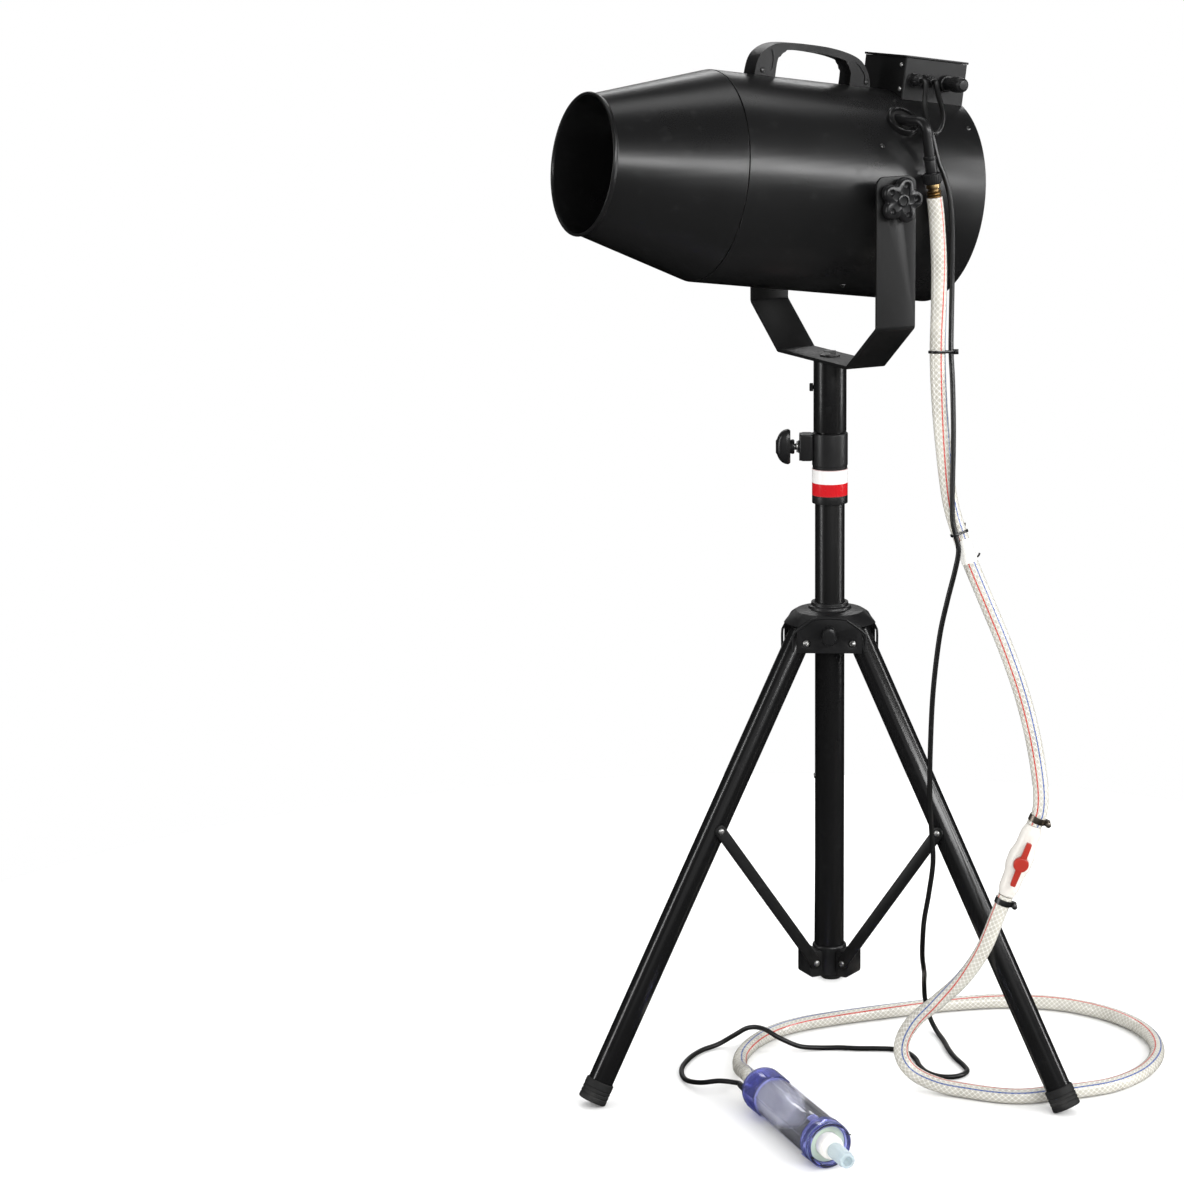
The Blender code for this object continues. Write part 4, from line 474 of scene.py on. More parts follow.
def turned(profile, sides=64, matrix=None, bm=None, ease=0.0006):
    """A solid of revolution about Z, from a closed outline of (radius, height) points."""
    bm = bm or bmesh.new()
    matrix = matrix or Matrix.Identity(4)
    rings = []
    for radius, height in eased(profile, ease) if ease else profile:
        count = 1 if radius < 1e-9 else sides
        turns = (2 * math.pi * k / sides for k in range(count))
        rings.append([
            bm.verts.new(matrix @ Vector((radius * math.cos(t), radius * math.sin(t), height)))
            for t in turns
        ])
    for low, high in zip(rings, rings[1:] + rings[:1]):
        if len(low) == 1 and len(high) == 1:
            continue
        for k in range(sides):
            corners = [low[k % len(low)], low[(k + 1) % len(low)]]
            corners += [high[(k + 1) % len(high)], high[k % len(high)]]
            bm.faces.new(list(dict.fromkeys(corners)))
    return bm


def stub(radius, low, high):
    """The profile of a plain round bar."""
    return [(0, low), (radius, low), (radius, high), (0, high)]


def rod(radius, low, high, sides=32, matrix=None, bm=None, ease=0.0005):
    return turned(stub(radius, low, high), sides, matrix, bm, ease)


def drill(radius, low, high, sides=32, matrix=None, bm=None):
    """A sharp-edged rod to cut a round hole with."""
    return rod(radius, low, high, sides, matrix, bm, 0)


def pipe(outer, inner, low, high, sides=96, matrix=None, bm=None, ease=0.0005):
    ring = [(outer, low), (outer, high), (inner, high), (inner, low)]
    return turned(ring, sides, matrix, bm, ease)


def layered(rings, matrix=None, bm=None):
    """A closed solid through rings of points of equal count, with flat ends."""
    bm = bm or bmesh.new()
    matrix = matrix or Matrix.Identity(4)
    rows = [[bm.verts.new(matrix @ Vector(p)) for p in ring] for ring in rings]
    bm.faces.new(rows[0][::-1])
    bm.faces.new(rows[-1])
    for low, high in zip(rows, rows[1:]):
        for k in range(len(low)):
            n = (k + 1) % len(low)
            bm.faces.new([low[k], low[n], high[n], high[k]])
    return bm


def slab(outline, low, high, matrix=None, bm=None):
    """A flat outline of (x, y) points, given thickness along Z."""
    return layered([[(x, y, z) for x, y in outline] for z in (low, high)], matrix, bm)


def block(size, centre=(0, 0, 0), matrix=None, bm=None, corner=0.0):
    """A box, with its upright corners rounded where a radius is given."""
    x, y, z = (s / 2 for s in size)
    outline = [(centre[0] + i * x, centre[1] + j * y) for i, j in ((-1, -1), (1, -1), (1, 1), (-1, 1))]
    if corner:
        outline = eased(outline, corner, 5)
    return slab(outline, centre[2] - z, centre[2] + z, matrix, bm)


def crowned(radius_at, levels, matrix=None, bm=None, sides=120):
    """A grip whose outline is radius_at(turn), set in by a distance at each height."""
    rings = []
    for inset, height in levels:
        ring = []
        for k in range(sides):
            t = 2 * math.pi * k / sides
            r = max(0.0005, radius_at(t) - inset)
            ring.append((r * math.cos(t), r * math.sin(t), height))
        rings.append(ring)
    return layered(rings, matrix, bm)


def hexagon(across):
    """The outline of a hexagon by turn, from half its width over the corners."""
    return lambda t: across * math.cos(math.pi / 6) / math.cos((t % (math.pi / 3)) - math.pi / 6)


def ring_band(outer, inner, thick, matrix):
    """A flat band between two outlines of equal count."""
    bm, rows = bmesh.new(), []
    for outline, height in ((outer, 0), (outer, thick), (inner, thick), (inner, 0)):
        rows.append([bm.verts.new(matrix @ Vector((x, y, height))) for x, y in outline])
    for low, high in zip(rows, rows[1:] + rows[:1]):
        for k in range(len(low)):
            n = (k + 1) % len(low)
            bm.faces.new([low[k], low[n], high[n], high[k]])
    return bm


def smooth_route(points, step):
    """Points about one step apart on the smooth curve through the route's own points."""
    points = [Vector(p) for p in points]
    pts = [points[0] * 2 - points[1]] + points + [points[-1] * 2 - points[-2]]
    fine = []
    for a, b, c, d in zip(pts, pts[1:], pts[2:], pts[3:]):
        for k in range(16):
            t = k / 16
            fine.append(0.5 * (2 * b + (c - a) * t + (2 * a - 5 * b + 4 * c - d) * t * t
                               + (3 * b - a - 3 * c + d) * t * t * t))
    fine.append(points[-1])
    length = sum((q - p).length for p, q in zip(fine, fine[1:]))
    count = max(2, round(length / step))
    route, done, want = [fine[0]], 0.0, length / count
    for p, q in zip(fine, fine[1:]):
        reach = (q - p).length
        while done + reach >= want - 1e-9 and len(route) < count:
            route.append(p + (q - p) * ((want - done) / reach))
            want += length / count
        done += reach
    return route + [fine[-1]]


def rounded(corners, radius, steps=8):
    """A run of straight lines with its inner corners rounded off."""
    corners = [Vector(c) for c in corners]
    run = [corners[0]]
    for a, b, c in zip(corners, corners[1:], corners[2:]):
        first, second = (b - a).normalized(), (c - b).normalized()
        half = first.angle(second) / 2
        start = b - first * radius * math.tan(half)
        inward = (second - first).normalized()
        middle = b + inward * radius / math.cos(half)
        axis = first.cross(second).normalized()
        for k in range(steps + 1):
            turn = Matrix.Rotation(2 * half * k / steps, 3, axis)
            run.append(middle + turn @ (start - middle))
    return run + [corners[-1]]


def rings_along(route, radius, facing, mirrored=False, turn_at=None, sides=32):
    """Rings of points round a route. facing is where the turn starts, kept without twist along it."""
    side, rings = Vector(facing), []
    for k, here in enumerate(route):
        ahead = route[min(k + 1, len(route) - 1)] - route[max(k - 1, 0)]
        ahead.normalize()
        side = (side - ahead * side.dot(ahead)).normalized()
        across = side.cross(ahead) if mirrored else ahead.cross(side)
        extra = turn_at(k) if turn_at else 0.0
        turns = (2 * math.pi * n / sides + extra for n in range(sides))
        wide = radius(k) if callable(radius) else radius
        rings.append([here + (side * math.cos(t) + across * math.sin(t)) * wide for t in turns])
    return rings


def swept(route, radius, sides=24, matrix=None, bm=None):
    """A round bar along a run of points."""
    ahead = route[1] - route[0]
    return layered(rings_along(route, radius, ahead.orthogonal(), sides=sides), matrix, bm)


def flat_ended(rings, route):
    """A tube's mesh, whose map runs once round it and along it in metres."""
    bm = bmesh.new()
    layer = bm.loops.layers.uv.new("along")
    rows = [[bm.verts.new(p) for p in ring] for ring in rings]
    sides, reach = len(rings[0]), [0.0]
    for p, q in zip(route, route[1:]):
        reach.append(reach[-1] + (q - p).length)
    for i, (low, high) in enumerate(zip(rows, rows[1:])):
        for k in range(sides):
            n = (k + 1) % sides
            face = bm.faces.new([low[k], low[n], high[n], high[k]])
            spots = ((k, i), (k + 1, i), (k + 1, i + 1), (k, i + 1))
            for loop, (u, v) in zip(face.loops, spots):
                loop[layer].uv = (u / sides, reach[v])
    for ring, v in ((rows[0], 0.0), (rows[-1], reach[-1])):
        for loop in bm.faces.new(ring).loops:
            loop[layer].uv = (0.5, v)
    return bm


def plain_object(name, bm):
    bmesh.ops.remove_doubles(bm, verts=bm.verts, dist=1e-6)
    bmesh.ops.recalc_face_normals(bm, faces=bm.faces)
    mesh = bpy.data.meshes.new(name)
    bm.to_mesh(mesh)
    bm.free()
    made = bpy.data.objects.new(name, mesh)
    bpy.context.scene.collection.objects.link(made)
    return made


def settle(made):
    """The object's modifiers become its mesh."""
    graph = bpy.context.evaluated_depsgraph_get()
    mesh = bpy.data.meshes.new_from_object(made.evaluated_get(graph))
    made.modifiers.clear()
    made.data = mesh
    mesh.name = made.name


def smooth(made, crease=38):
    made.data.shade_smooth()
    made.data.set_sharp_from_angle(angle=math.radians(crease))


def piece(name, bm, look, body, nodes=(), at=STAND, cuts=None, edge=0.0, crease=38):
    """A rigid piece that moves with a body and stands for some nodes, with its holes and its edges."""
    made = plain_object(name, bm)
    if cuts:
        cutter = plain_object(name + "_holes", cuts)
        cut = made.modifiers.new("holes", "BOOLEAN")
        cut.solver, cut.object, cut.use_self = "EXACT", cutter, True
        settle(made)
        bpy.data.objects.remove(cutter, do_unlink=True)
    if edge:
        bevel = made.modifiers.new("edges", "BEVEL")
        bevel.width, bevel.segments, bevel.angle_limit = edge, 2, math.radians(32)
        bevel.use_clamp_overlap = True
        settle(made)
    made.data.transform(at)
    smooth(made, crease)
    belong(made, look, body, nodes)


def belong(made, look, body, nodes=()):
    """The object gets its look and finish, the nodes that it stands for and the body that it rides."""
    made.data.materials.clear()
    made.data.materials.append(LOOKS[look])
    if nodes:
        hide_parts(*((nodes,) if isinstance(nodes, str) else nodes))
    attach(made, body)


# ---------------------------------------------------------------- camera

RIGHT = Vector((0.90214, -0.43122, -0.01403))
UP = Vector((0.10448, 0.18679, 0.97683))
AHEAD = UP.cross(RIGHT)
FACING = -Vector((AHEAD.x, AHEAD.y, 0)).normalized()
RIGHTWARDS = Vector((RIGHT.x, RIGHT.y, 0)).normalized()
EYE = Vector((-1.9124, -3.3753, 1.4355))
lens = bpy.data.cameras.new("photo_camera")
lens.lens, lens.sensor_width, lens.sensor_fit = 101.5, 36, "AUTO"
lens.clip_start, lens.clip_end = 0.1, 60
camera = bpy.data.objects.new("photo_camera", lens)
camera.matrix_world = axes(RIGHT, UP, -AHEAD, EYE + MAST)
bpy.context.scene.collection.objects.link(camera)
bpy.context.scene.camera = camera


# ---------------------------------------------------------------- hose and cables

# The two bodies that each length of a hanging line joins, and the heights where it leaves and meets them
BODY_STEPS = (("top", "barrel", "yoke", 1.010, 0.930), ("middle", "yoke", "mast", 0.860, 0.720),
              ("low", "mast", "stand", 0.640, 0.420))
ROUTE_STEP, LEAD_STEP = 0.0025, 0.0015
LINES = []


def from_barrel(place):
    """A place on the tilted barrel, from the mast's axis at floor level."""
    return TILT + Matrix.Rotation(TILT_REST, 3, "Y") @ Vector(place)


def where(route, height):
    """Where a falling route first passes a height."""
    return next(k for k, p in enumerate(route) if p.z < height)


def ramp(value, low, high):
    t = min(1.0, max(0.0, (value - low) / (high - low)))
    return t * t * (3 - 2 * t)


def tube_piece(name, rings, route, look, node, diameter, lay, far_end="object", pieces_on=()):
    """A length of hose or cable, kept in a list with its route, size, lay, far end and the pieces on it."""
    made = plain_object(name, flat_ended(rings, route))
    made.data.transform(STAND)
    smooth(made, 60)
    made.data.materials.append(LOOKS[look])
    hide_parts(node)
    LINES.append((made, [p + MAST for p in route], diameter, lay, far_end, pieces_on))
    return made


def in_three(name, rings, route, look, node, diameter, lays, far_end, pieces_on):
    """A hanging line in three lengths, which part at the two ties."""
    cuts = [0, where(route, TIES[0]), where(route, TIES[1]), len(route) - 1]
    for k, (part, upper, lower, start, end) in enumerate(BODY_STEPS):
        run = route[cuts[k]:cuts[k + 1] + 1]
        made = tube_piece("%s_%s" % (name, part), rings[cuts[k]:cuts[k + 1] + 1], run, look, node, diameter,
                          lays[k], far_end, pieces_on[k])
        first = min(run, key=lambda p: abs(p.z - start))
        last = min(run[:where(run, end) + 1], key=lambda p: abs(p.z - end))
        tuple(first + MAST)
        tuple(last + MAST)
        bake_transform(made)


def gland_route(x, diameter, points, step):
    """The route of a cable that leaves a gland straight."""
    face = from_barrel((x, -BOX_HALF - GLAND_REACH - GAP, GLAND_UP))
    return smooth_route([face, face - Vector((0, diameter, 0))] + points, step)


VALVE_DOWN = (VALVE_END - VALVE_TOP).normalized()
HANG_ROUTE = smooth_route([HOSE_TOP, HOSE_TOP + ELBOW_DOWN * HOSE_D] + HOSE_HANG
                          + [VALVE_TOP - VALVE_DOWN * HOSE_D, VALVE_TOP], ROUTE_STEP)
FLOOR_START = VALVE_END + VALVE_DOWN * GAP
FLOOR_ROUTE = smooth_route([FLOOR_START, FLOOR_START + VALVE_DOWN * HOSE_D * 0.8] + HOSE_FLOOR
                           + [PUMP_BACK - PUMP_AHEAD * HOSE_D, PUMP_BACK], ROUTE_STEP)
CABLE_ROUTE = gland_route(GLAND_X[0], CABLE_D, PUMP_LINE + [SLEEVE_END - PUMP_AHEAD * CABLE_D, SLEEVE_END],
                          ROUTE_STEP)
LEAD_ROUTE = gland_route(GLAND_X[1], LEAD_D, FAN_LEAD, LEAD_STEP)


def stripe_turn(k):
    """How far round the hanging hose its stripes have turned from the side that faces the camera."""
    z = HANG_ROUTE[k].z
    turn = -4.5 + 6 * ramp(z, 0.40, 0.60) + 42 * ramp(z, 0.66, 0.90) + 22 * ramp(z, 0.90, 1.02)
    return math.radians(turn)


def build_hanging_hose():
    rings = rings_along(HANG_ROUTE, HOSE_D / 2, FACING, True, stripe_turn)
    pieces_on = (("tie_upper",), ("tie_lower", "white_wrap", "wrap_tail"),
                 ("valve_shell", "valve_seat", "valve_red_lever", "clamp_above_valve"))
    in_three("hanging_hose", rings, HANG_ROUTE, "hose", "upper_hose", HOSE_D, ["hanging"] * 3, "fitting",
             pieces_on)


def build_floor_hose():
    """The hose from the valve to the pump, with its stripes brought to its upper side on the floor."""
    count, curl, start_turn = len(FLOOR_ROUTE), 20, math.radians(85)
    settled = where(FLOOR_ROUTE, 0.0125)
    level_side = rings_along(FLOOR_ROUTE, HOSE_D / 2, FACING)[settled][0] - FLOOR_ROUTE[settled]
    level_side.normalize()
    ahead = (FLOOR_ROUTE[settled + 1] - FLOOR_ROUTE[settled - 1]).normalized()
    on_top = (Vector((0, 0, 1)) - ahead * ahead.z).normalized()
    upward = math.atan2(on_top.dot(ahead.cross(level_side)), on_top.dot(level_side))

    def floor_turn(k):
        falls = ramp(k, curl, settled)
        lean = (28 * falls - 22 * ramp(k, settled, count * 0.5)
                - 40 * ramp(k, count * 0.55, count * 0.85))
        return start_turn + (upward - start_turn) * falls + math.radians(lean)

    rings = rings_along(FLOOR_ROUTE, HOSE_D / 2, FACING, False, floor_turn)
    made = tube_piece("floor_hose", rings, FLOOR_ROUTE, "hose", "lower_hose", HOSE_D, "loose",
                      pieces_on=("clamp_below_valve",))
    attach(made, "stand")


def build_cables():
    up = Vector((0, 0, 1))
    rings = rings_along(CABLE_ROUTE, CABLE_D / 2, up, sides=16)
    in_three("pump_cable", rings, CABLE_ROUTE, "cable", "pump_cable", CABLE_D, ("hanging", "hanging", "loose"),
             "object", ((), (), ()))
    rings = rings_along(LEAD_ROUTE, LEAD_D / 2, up, sides=16)
    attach(tube_piece("fan_lead", rings, LEAD_ROUTE, "cable", "motor_lead", LEAD_D, "loose"), "barrel")


build_hanging_hose()
build_floor_hose()
build_cables()


# ---------------------------------------------------------------- screws, wires and net


class Shape(Nodes):
    """A tree of shape nodes with named inputs, which ends in real geometry with its material."""

    def __init__(self, name, **sizes):
        self.tree = bpy.data.node_groups.new(name, "GeometryNodeTree")
        face = self.tree.interface
        face.new_socket("Geometry", in_out="OUTPUT", socket_type="NodeSocketGeometry")
        face.new_socket("Geometry", in_out="INPUT", socket_type="NodeSocketGeometry")
        for size, kind in sizes.items():
            face.new_socket(size, in_out="INPUT", socket_type="NodeSocket" + kind)
        face.new_socket("finish", in_out="INPUT", socket_type="NodeSocketMaterial")
        self.inputs = self.tree.nodes.new("NodeGroupInput")

    def given(self, name):
        return Value(self, self.inputs.outputs[name])

    def done(self, shape):
        real = self.node("GeometryNodeRealizeInstances", (), {0: shape})
        dressed = self.node("GeometryNodeSetMaterial", (), {0: real, "Material": self.given("finish")})
        out = self.tree.nodes.new("NodeGroupOutput")
        self.tree.links.new(dressed.socket, out.inputs[0])

    def join(self, *shapes):
        joined = self.tree.nodes.new("GeometryNodeJoinGeometry")
        for shape in reversed(shapes):
            self.tree.links.new(shape.socket, joined.inputs[0])
        return Value(self, joined.outputs[0])

    def moved(self, shape, **values):
        return self.node("GeometryNodeTransform", (), {0: shape, **values})

    def copies(self, points, shape, **values):
        return self.node("GeometryNodeInstanceOnPoints", (), {"Points": points, "Instance": shape, **values})

    def circle(self, resolution, radius):
        values = {"Resolution": resolution, "Radius": radius}
        return self.node("GeometryNodeCurvePrimitiveCircle", {"mode": "RADIUS"}, values)

    def wires(self, lines, section):
        values = {"Curve": lines, "Profile Curve": section, "Fill Caps": True}
        return self.node("GeometryNodeCurveToMesh", (), values)


def grown(name, mesh_object, shape, look, body, nodes=(), at=STAND, **sizes):
    """The piece that a shape tree grows on an object, as a plain mesh that moves with a body."""
    grow = mesh_object.modifiers.new("grow", "NODES")
    grow.node_group = shape.tree
    for item in shape.tree.interface.items_tree:
        if item.in_out == "INPUT" and item.name in sizes:
            grow[item.identifier] = sizes[item.name]
        if item.in_out == "INPUT" and item.name == "finish":
            grow[item.identifier] = LOOKS[look]
    settle(mesh_object)
    mesh_object.name = mesh_object.data.name = name
    mesh_object.data.transform(at)
    smooth(mesh_object, 40)
    belong(mesh_object, look, body, nodes)


def screw_head_shape():
    """A domed head with a cross recess on each point, turned to the point's own facing."""
    shape = Shape("screw_heads", radius="Float", height="Float", recess="Float")
    radius, height, recess = (shape.given(n) for n in ("radius", "height", "recess"))
    ball = shape.node("GeometryNodeMeshUVSphere", (), {"Segments": 24, "Rings": 12, "Radius": 1.0})
    wide = shape.node("ShaderNodeCombineXYZ", (), {0: radius, 1: radius, 2: height})
    dome = shape.moved(ball, Scale=wide)
    bars = []
    for turn in (0.0, math.pi / 2):
        size = shape.node("ShaderNodeCombineXYZ", (), {0: radius * 1.1, 1: radius * 0.26, 2: height})
        bar = shape.node("GeometryNodeMeshCube", (), {"Size": size})
        lift = shape.node("ShaderNodeCombineXYZ", (), {2: height * 1.5 - recess})
        bars.append(shape.moved(bar, Translation=lift, Rotation=(0.0, 0.0, turn)))
    cut = shape.tree.nodes.new("GeometryNodeMeshBoolean")
    cut.operation, cut.solver = "DIFFERENCE", "EXACT"
    shape.tree.links.new(dome.socket, cut.inputs[0])
    for bar in bars:
        shape.tree.links.new(bar.socket, cut.inputs[1])
    head = Value(shape, cut.outputs[0])
    facing = shape.node("GeometryNodeInputNamedAttribute", {"data_type": "FLOAT_VECTOR"}, {"Name": "facing"})
    turn = shape.node("FunctionNodeAlignEulerToVector", {"axis": "Z"}, {"Vector": facing})
    shape.done(shape.copies(shape.given("Geometry"), head, Rotation=turn))
    return shape


def points_facing(name, spots):
    """Loose points, each with the direction that it faces, from (place, direction) pairs."""
    mesh = bpy.data.meshes.new(name)
    mesh.from_pydata([tuple(p) for p, _ in spots], [], [])
    facing = mesh.attributes.new("facing", "FLOAT_VECTOR", "POINT")
    facing.data.foreach_set("vector", [c for _, d in spots for c in Vector(d).normalized()])
    made = bpy.data.objects.new(name, mesh)
    bpy.context.scene.collection.objects.link(made)
    return made


SCREWS = screw_head_shape()


def screws(name, spots, radius, height, look):
    """Screw heads on the barrel, from (place, direction) pairs."""
    grown(name, points_facing(name, spots), SCREWS, look, "barrel", at=BARREL, radius=radius, height=height,
          recess=0.0008)


# ---------------------------------------------------------------- stand, clamp and mast


def wing_frame(axis, place):
    """The place of a wing grip whose long way stands upright."""
    base = along(axis)
    side, across = base.to_3x3() @ Vector((1, 0, 0)), base.to_3x3() @ Vector((0, 1, 0))
    return Matrix.Translation(place) @ base @ Matrix.Rotation(math.atan2(across.z, side.z), 4, "Z")


def wing_grip(name, axis, place, reach, wide, thick, stud_r, stud_tip, body, node):
    at = wing_frame(axis, place)
    low, rings = thick * 0.22, []
    for k in range(15):
        up = k / 14
        long = reach / 2 * max(0.12, 1 - up ** 2.6) ** 0.5 * (0.90 + 0.10 * min(1, up * 9))
        broad = wide / 2 * max(0.10, 1 - up ** 5) ** 0.5 * (0.80 + 0.20 * min(1, up * 5))
        turns = (math.radians(t) for t in range(0, 360, 5))
        rings.append([(long * math.copysign(abs(math.cos(t)) ** 0.7, math.cos(t)),
                       broad * math.copysign(abs(math.sin(t)) ** 0.8, math.sin(t)), low + (thick - low) * up)
                      for t in turns])
    bm = layered(rings, at)
    neck = [(0, 0), (wide * 0.36, 0), (wide * 0.42, 0.0015), (wide * 0.30, thick * 0.6), (0, thick * 0.6)]
    turned(neck, 40, at, bm)
    piece(name, bm, "knob", body, node)
    thread = [(0, -stud_tip)]
    turns = int((stud_tip - 0.001) / 0.0009)
    for k in range(turns):
        z = -stud_tip + 0.0009 * k
        thread += [(stud_r - 0.00035, z), (stud_r, z + 0.00045)]
    thread += [(stud_r - 0.00035, -0.0004), (stud_r, 0.0003), (0, 0.0003)]
    piece(name + "_stud", turned(thread, 28, at, ease=0), "zinc", body)


def build_column():
    bm = pipe(COLUMN_R, COLUMN_R - TUBE_WALL, COLUMN_BOTTOM, COLUMN_TOP, 96)
    piece("column", bm, "tube", "stand", "column_tube")
    groove = COLLAR_R - 0.0009
    profile = [
        (COLUMN_R + GAP, COLLAR_BOTTOM), (COLLAR_R, COLLAR_BOTTOM), (COLLAR_R, BAND_BOTTOM - GAP),
        (groove, BAND_BOTTOM - GAP), (groove, BAND_TOP + GAP), (COLLAR_R - 0.0006, BAND_TOP + GAP),
        (COLLAR_R - 0.0006, BAND_TOP + 0.0035), (COLLAR_R, BAND_TOP + 0.0042),
        (COLLAR_R, CLAMP_TOP - 0.0012), (COLLAR_R - 0.0008, CLAMP_TOP), (MAST_R + GAP, CLAMP_TOP),
        (MAST_R + GAP, COLUMN_TOP + GAP), (COLUMN_R + GAP, COLUMN_TOP + GAP),
    ]
    bm = turned(profile, 96, ease=0.0004)
    around = Matrix.Rotation(LUG_TURN, 4, "Z")
    start = MAST_R + 0.0035
    lug = [(start, -LUG_WIDTH / 2), (LUG_REACH, -LUG_WIDTH / 2), (LUG_REACH, LUG_WIDTH / 2),
           (start, LUG_WIDTH / 2)]
    low, high = LUG_Z - LUG_HEIGHT / 2, LUG_Z + LUG_HEIGHT / 2
    cheeks = bmesh.new()
    slab(eased(lug, 0.004, 5), low, high, around, cheeks)
    bevel = [e for e in cheeks.edges if abs(e.verts[0].co.z - e.verts[1].co.z) < 1e-6]
    bmesh.ops.bevel(cheeks, geom=bevel, offset=0.0022, segments=4, affect="EDGES", profile=0.5)
    at = along(LUG_OUT, (0, 0, LUG_Z))
    turned([(0, 0.022), (0.0088, 0.022), (0.0088, LUG_REACH - 0.003), (0.0072, LUG_REACH + 0.0015),
            (0, LUG_REACH + 0.0015)], 48, at, cheeks)
    spare = bpy.data.meshes.new("lug")
    cheeks.to_mesh(spare)
    cheeks.free()
    bm.from_mesh(spare)
    holes = drill(0.0042, 0.0, 0.06, 28, at)
    drill(MAST_R + GAP, COLUMN_TOP + GAP, CLAMP_TOP + 0.01, 96, None, holes)
    piece("clamp_collar", bm, "moulded", "stand", "mast_clamp", cuts=holes)
    band = pipe(COLLAR_R, groove + GAP, BAND_BOTTOM, BAND_TOP, 96, ease=0.0002)
    piece("collar_band", band, "band", "stand", "label_band")
    washer = pipe(0.0068, 0.0043, LUG_REACH + 0.0017, LUG_REACH + 0.0032, 40, at)
    piece("clamp_washer", washer, "zinc", "stand")
    wing_grip("clamp_wing_knob", LUG_OUT, LUG_OUT * (LUG_REACH + 0.0055) + Vector((0, 0, LUG_Z)),
              0.042, 0.021, 0.022, 0.004, LUG_REACH + 0.0055 - MAST_R - 2 * GAP, "clamp_knob",
              "mast_clamp_knob")

    profile = [
        (0, BRACKET_BOTTOM), (0.0185, BRACKET_BOTTOM), (0.0205, BRACKET_BOTTOM + 0.002),
        (0.0205, BRACKET_TOP - 0.002), (0.0195, BRACKET_TOP), (COLUMN_R + GAP, BRACKET_TOP),
        (COLUMN_R + GAP, COLUMN_BOTTOM - GAP), (0, COLUMN_BOTTOM - GAP),
    ]
    bm = turned(profile, 96)
    ear = [(0.018, 0.117), (0.035, 0.117), (0.035, 0.149), (0.018, 0.149)]
    holes = bmesh.new()
    for turn in LEG_TURNS.values():
        around = Matrix.Rotation(turn, 4, "Z")
        slab(eased(ear, 0.005, 5), -0.0151, 0.0151, around @ SIDE_ON, bm)
        drill(0.0027, -0.03, 0.03, 24, around @ along((0, 1, 0), (BRACKET_R, 0, BRACKET_Z)), holes)
    piece("foot_bracket", bm, "moulded", "stand", "lower_bracket", cuts=holes, edge=0.0006)

    piece("mast_tube", pipe(MAST_R, MAST_R - TUBE_WALL, MAST_BOTTOM, MAST_TOP, 96), "tube", "mast")


build_column()


# ---------------------------------------------------------------- yoke


def bar_outline(points, thick):
    """The outline of a bar bent along an open run of points, which are its outer side."""
    inner = []
    pts = [Vector((*p, 0)) for p in points]
    for k, here in enumerate(pts):
        before = (here - pts[k - 1]).normalized() if k else None
        after = (pts[k + 1] - here).normalized() if k + 1 < len(pts) else None
        first, second = before or after, after or before
        normals = [Vector((-d.y, d.x, 0)) for d in (first, second)]
        middle = (normals[0] + normals[1]).normalized()
        spot = here + middle * thick / middle.dot(normals[0])
        inner.append((spot.x, spot.y))
    return list(points) + inner[::-1]


def build_yoke():
    half, base = YOKE_HALF, YOKE_BASE
    corners = [(0, -half, YOKE_TOP_Z), (0, -half, YOKE_BEND_Z), (0, -base, YOKE_BASE_Z),
               (0, base, YOKE_BASE_Z), (0, half, YOKE_BEND_Z), (0, half, YOKE_TOP_Z)]
    run = [(p.y, p.z) for p in rounded(corners, 0.007, 6)]
    end_on = axes((0, 1, 0), (0, 0, 1), (1, 0, 0))
    bm = slab(bar_outline(run, YOKE_THICK), -YOKE_BAR / 2, YOKE_BAR / 2, end_on)
    ends = [e for e in bm.edges if all(abs(v.co.z - YOKE_TOP_Z) < 1e-5 for v in e.verts)
            and abs(e.verts[0].co.x - e.verts[1].co.x) < 1e-5]
    bmesh.ops.bevel(bm, geom=ends, offset=0.010, segments=10, affect="EDGES", profile=0.5)
    holes = drill(TILT_HOLE_R, -half - 0.01, half + 0.01, 40, along((0, 1, 0), TILT))
    drill(0.0052, YOKE_BASE_Z - 0.01, YOKE_BASE_Z + 0.01, 40, None, holes)
    piece("yoke_bar", bm, "bracket", "yoke", "yoke_bracket", cuts=holes, edge=0.0007)

    top = YOKE_BASE_Z - GAP
    inside = MAST_R + 0.00035
    profile = [(0.0052, top), (SOCKET_R, top), (SOCKET_R, SOCKET_LOW), (inside, SOCKET_LOW),
               (inside, top - 0.005), (0.0052, top - 0.005)]
    at = along(LUG_OUT, (0, 0, SOCKET_SCREW_Z))
    piece("yoke_socket", turned(profile, 96), "tube", "yoke", "mast_socket",
          cuts=drill(0.0027, 0, 0.05, 24, at))
    head = SOCKET_R + GAP
    knurl = lambda t: 0.0046 + 0.0002 * math.cos(18 * t)
    bm = crowned(knurl, [(0.0006, head), (0, head + 0.0006), (0, head + 0.0036), (0.0008, head + 0.0044)], at)
    turned([(0, MAST_R + 2 * GAP), (0.0025, MAST_R + 2 * GAP), (0.0025, head + 0.001), (0, head + 0.001)],
           28, at, bm)
    piece("socket_thumb_screw", bm, "knob", "socket_screw_body", "socket_screw")

    plate = YOKE_BASE_Z + YOKE_THICK + GAP
    low = top - 0.010
    profile = [(0, low), (0.0078, low), (0.0078, top - 0.005 - GAP), (0.005, top - 0.005 - GAP),
               (0.005, plate), (0, plate)]
    bm = turned(profile, 40)
    turned([(0, plate), (0.0118, plate), (0.0118, plate + 0.0014), (0, plate + 0.0014)], 48, None, bm)
    corners = hexagon(0.0082)
    crowned(corners, [(0, plate + 0.0014), (0, plate + 0.0048), (0.0007, plate + 0.0055)], None, bm)
    piece("yoke_base_bolt", bm, "dark_zinc", "yoke", "yoke_bolt")


build_yoke()


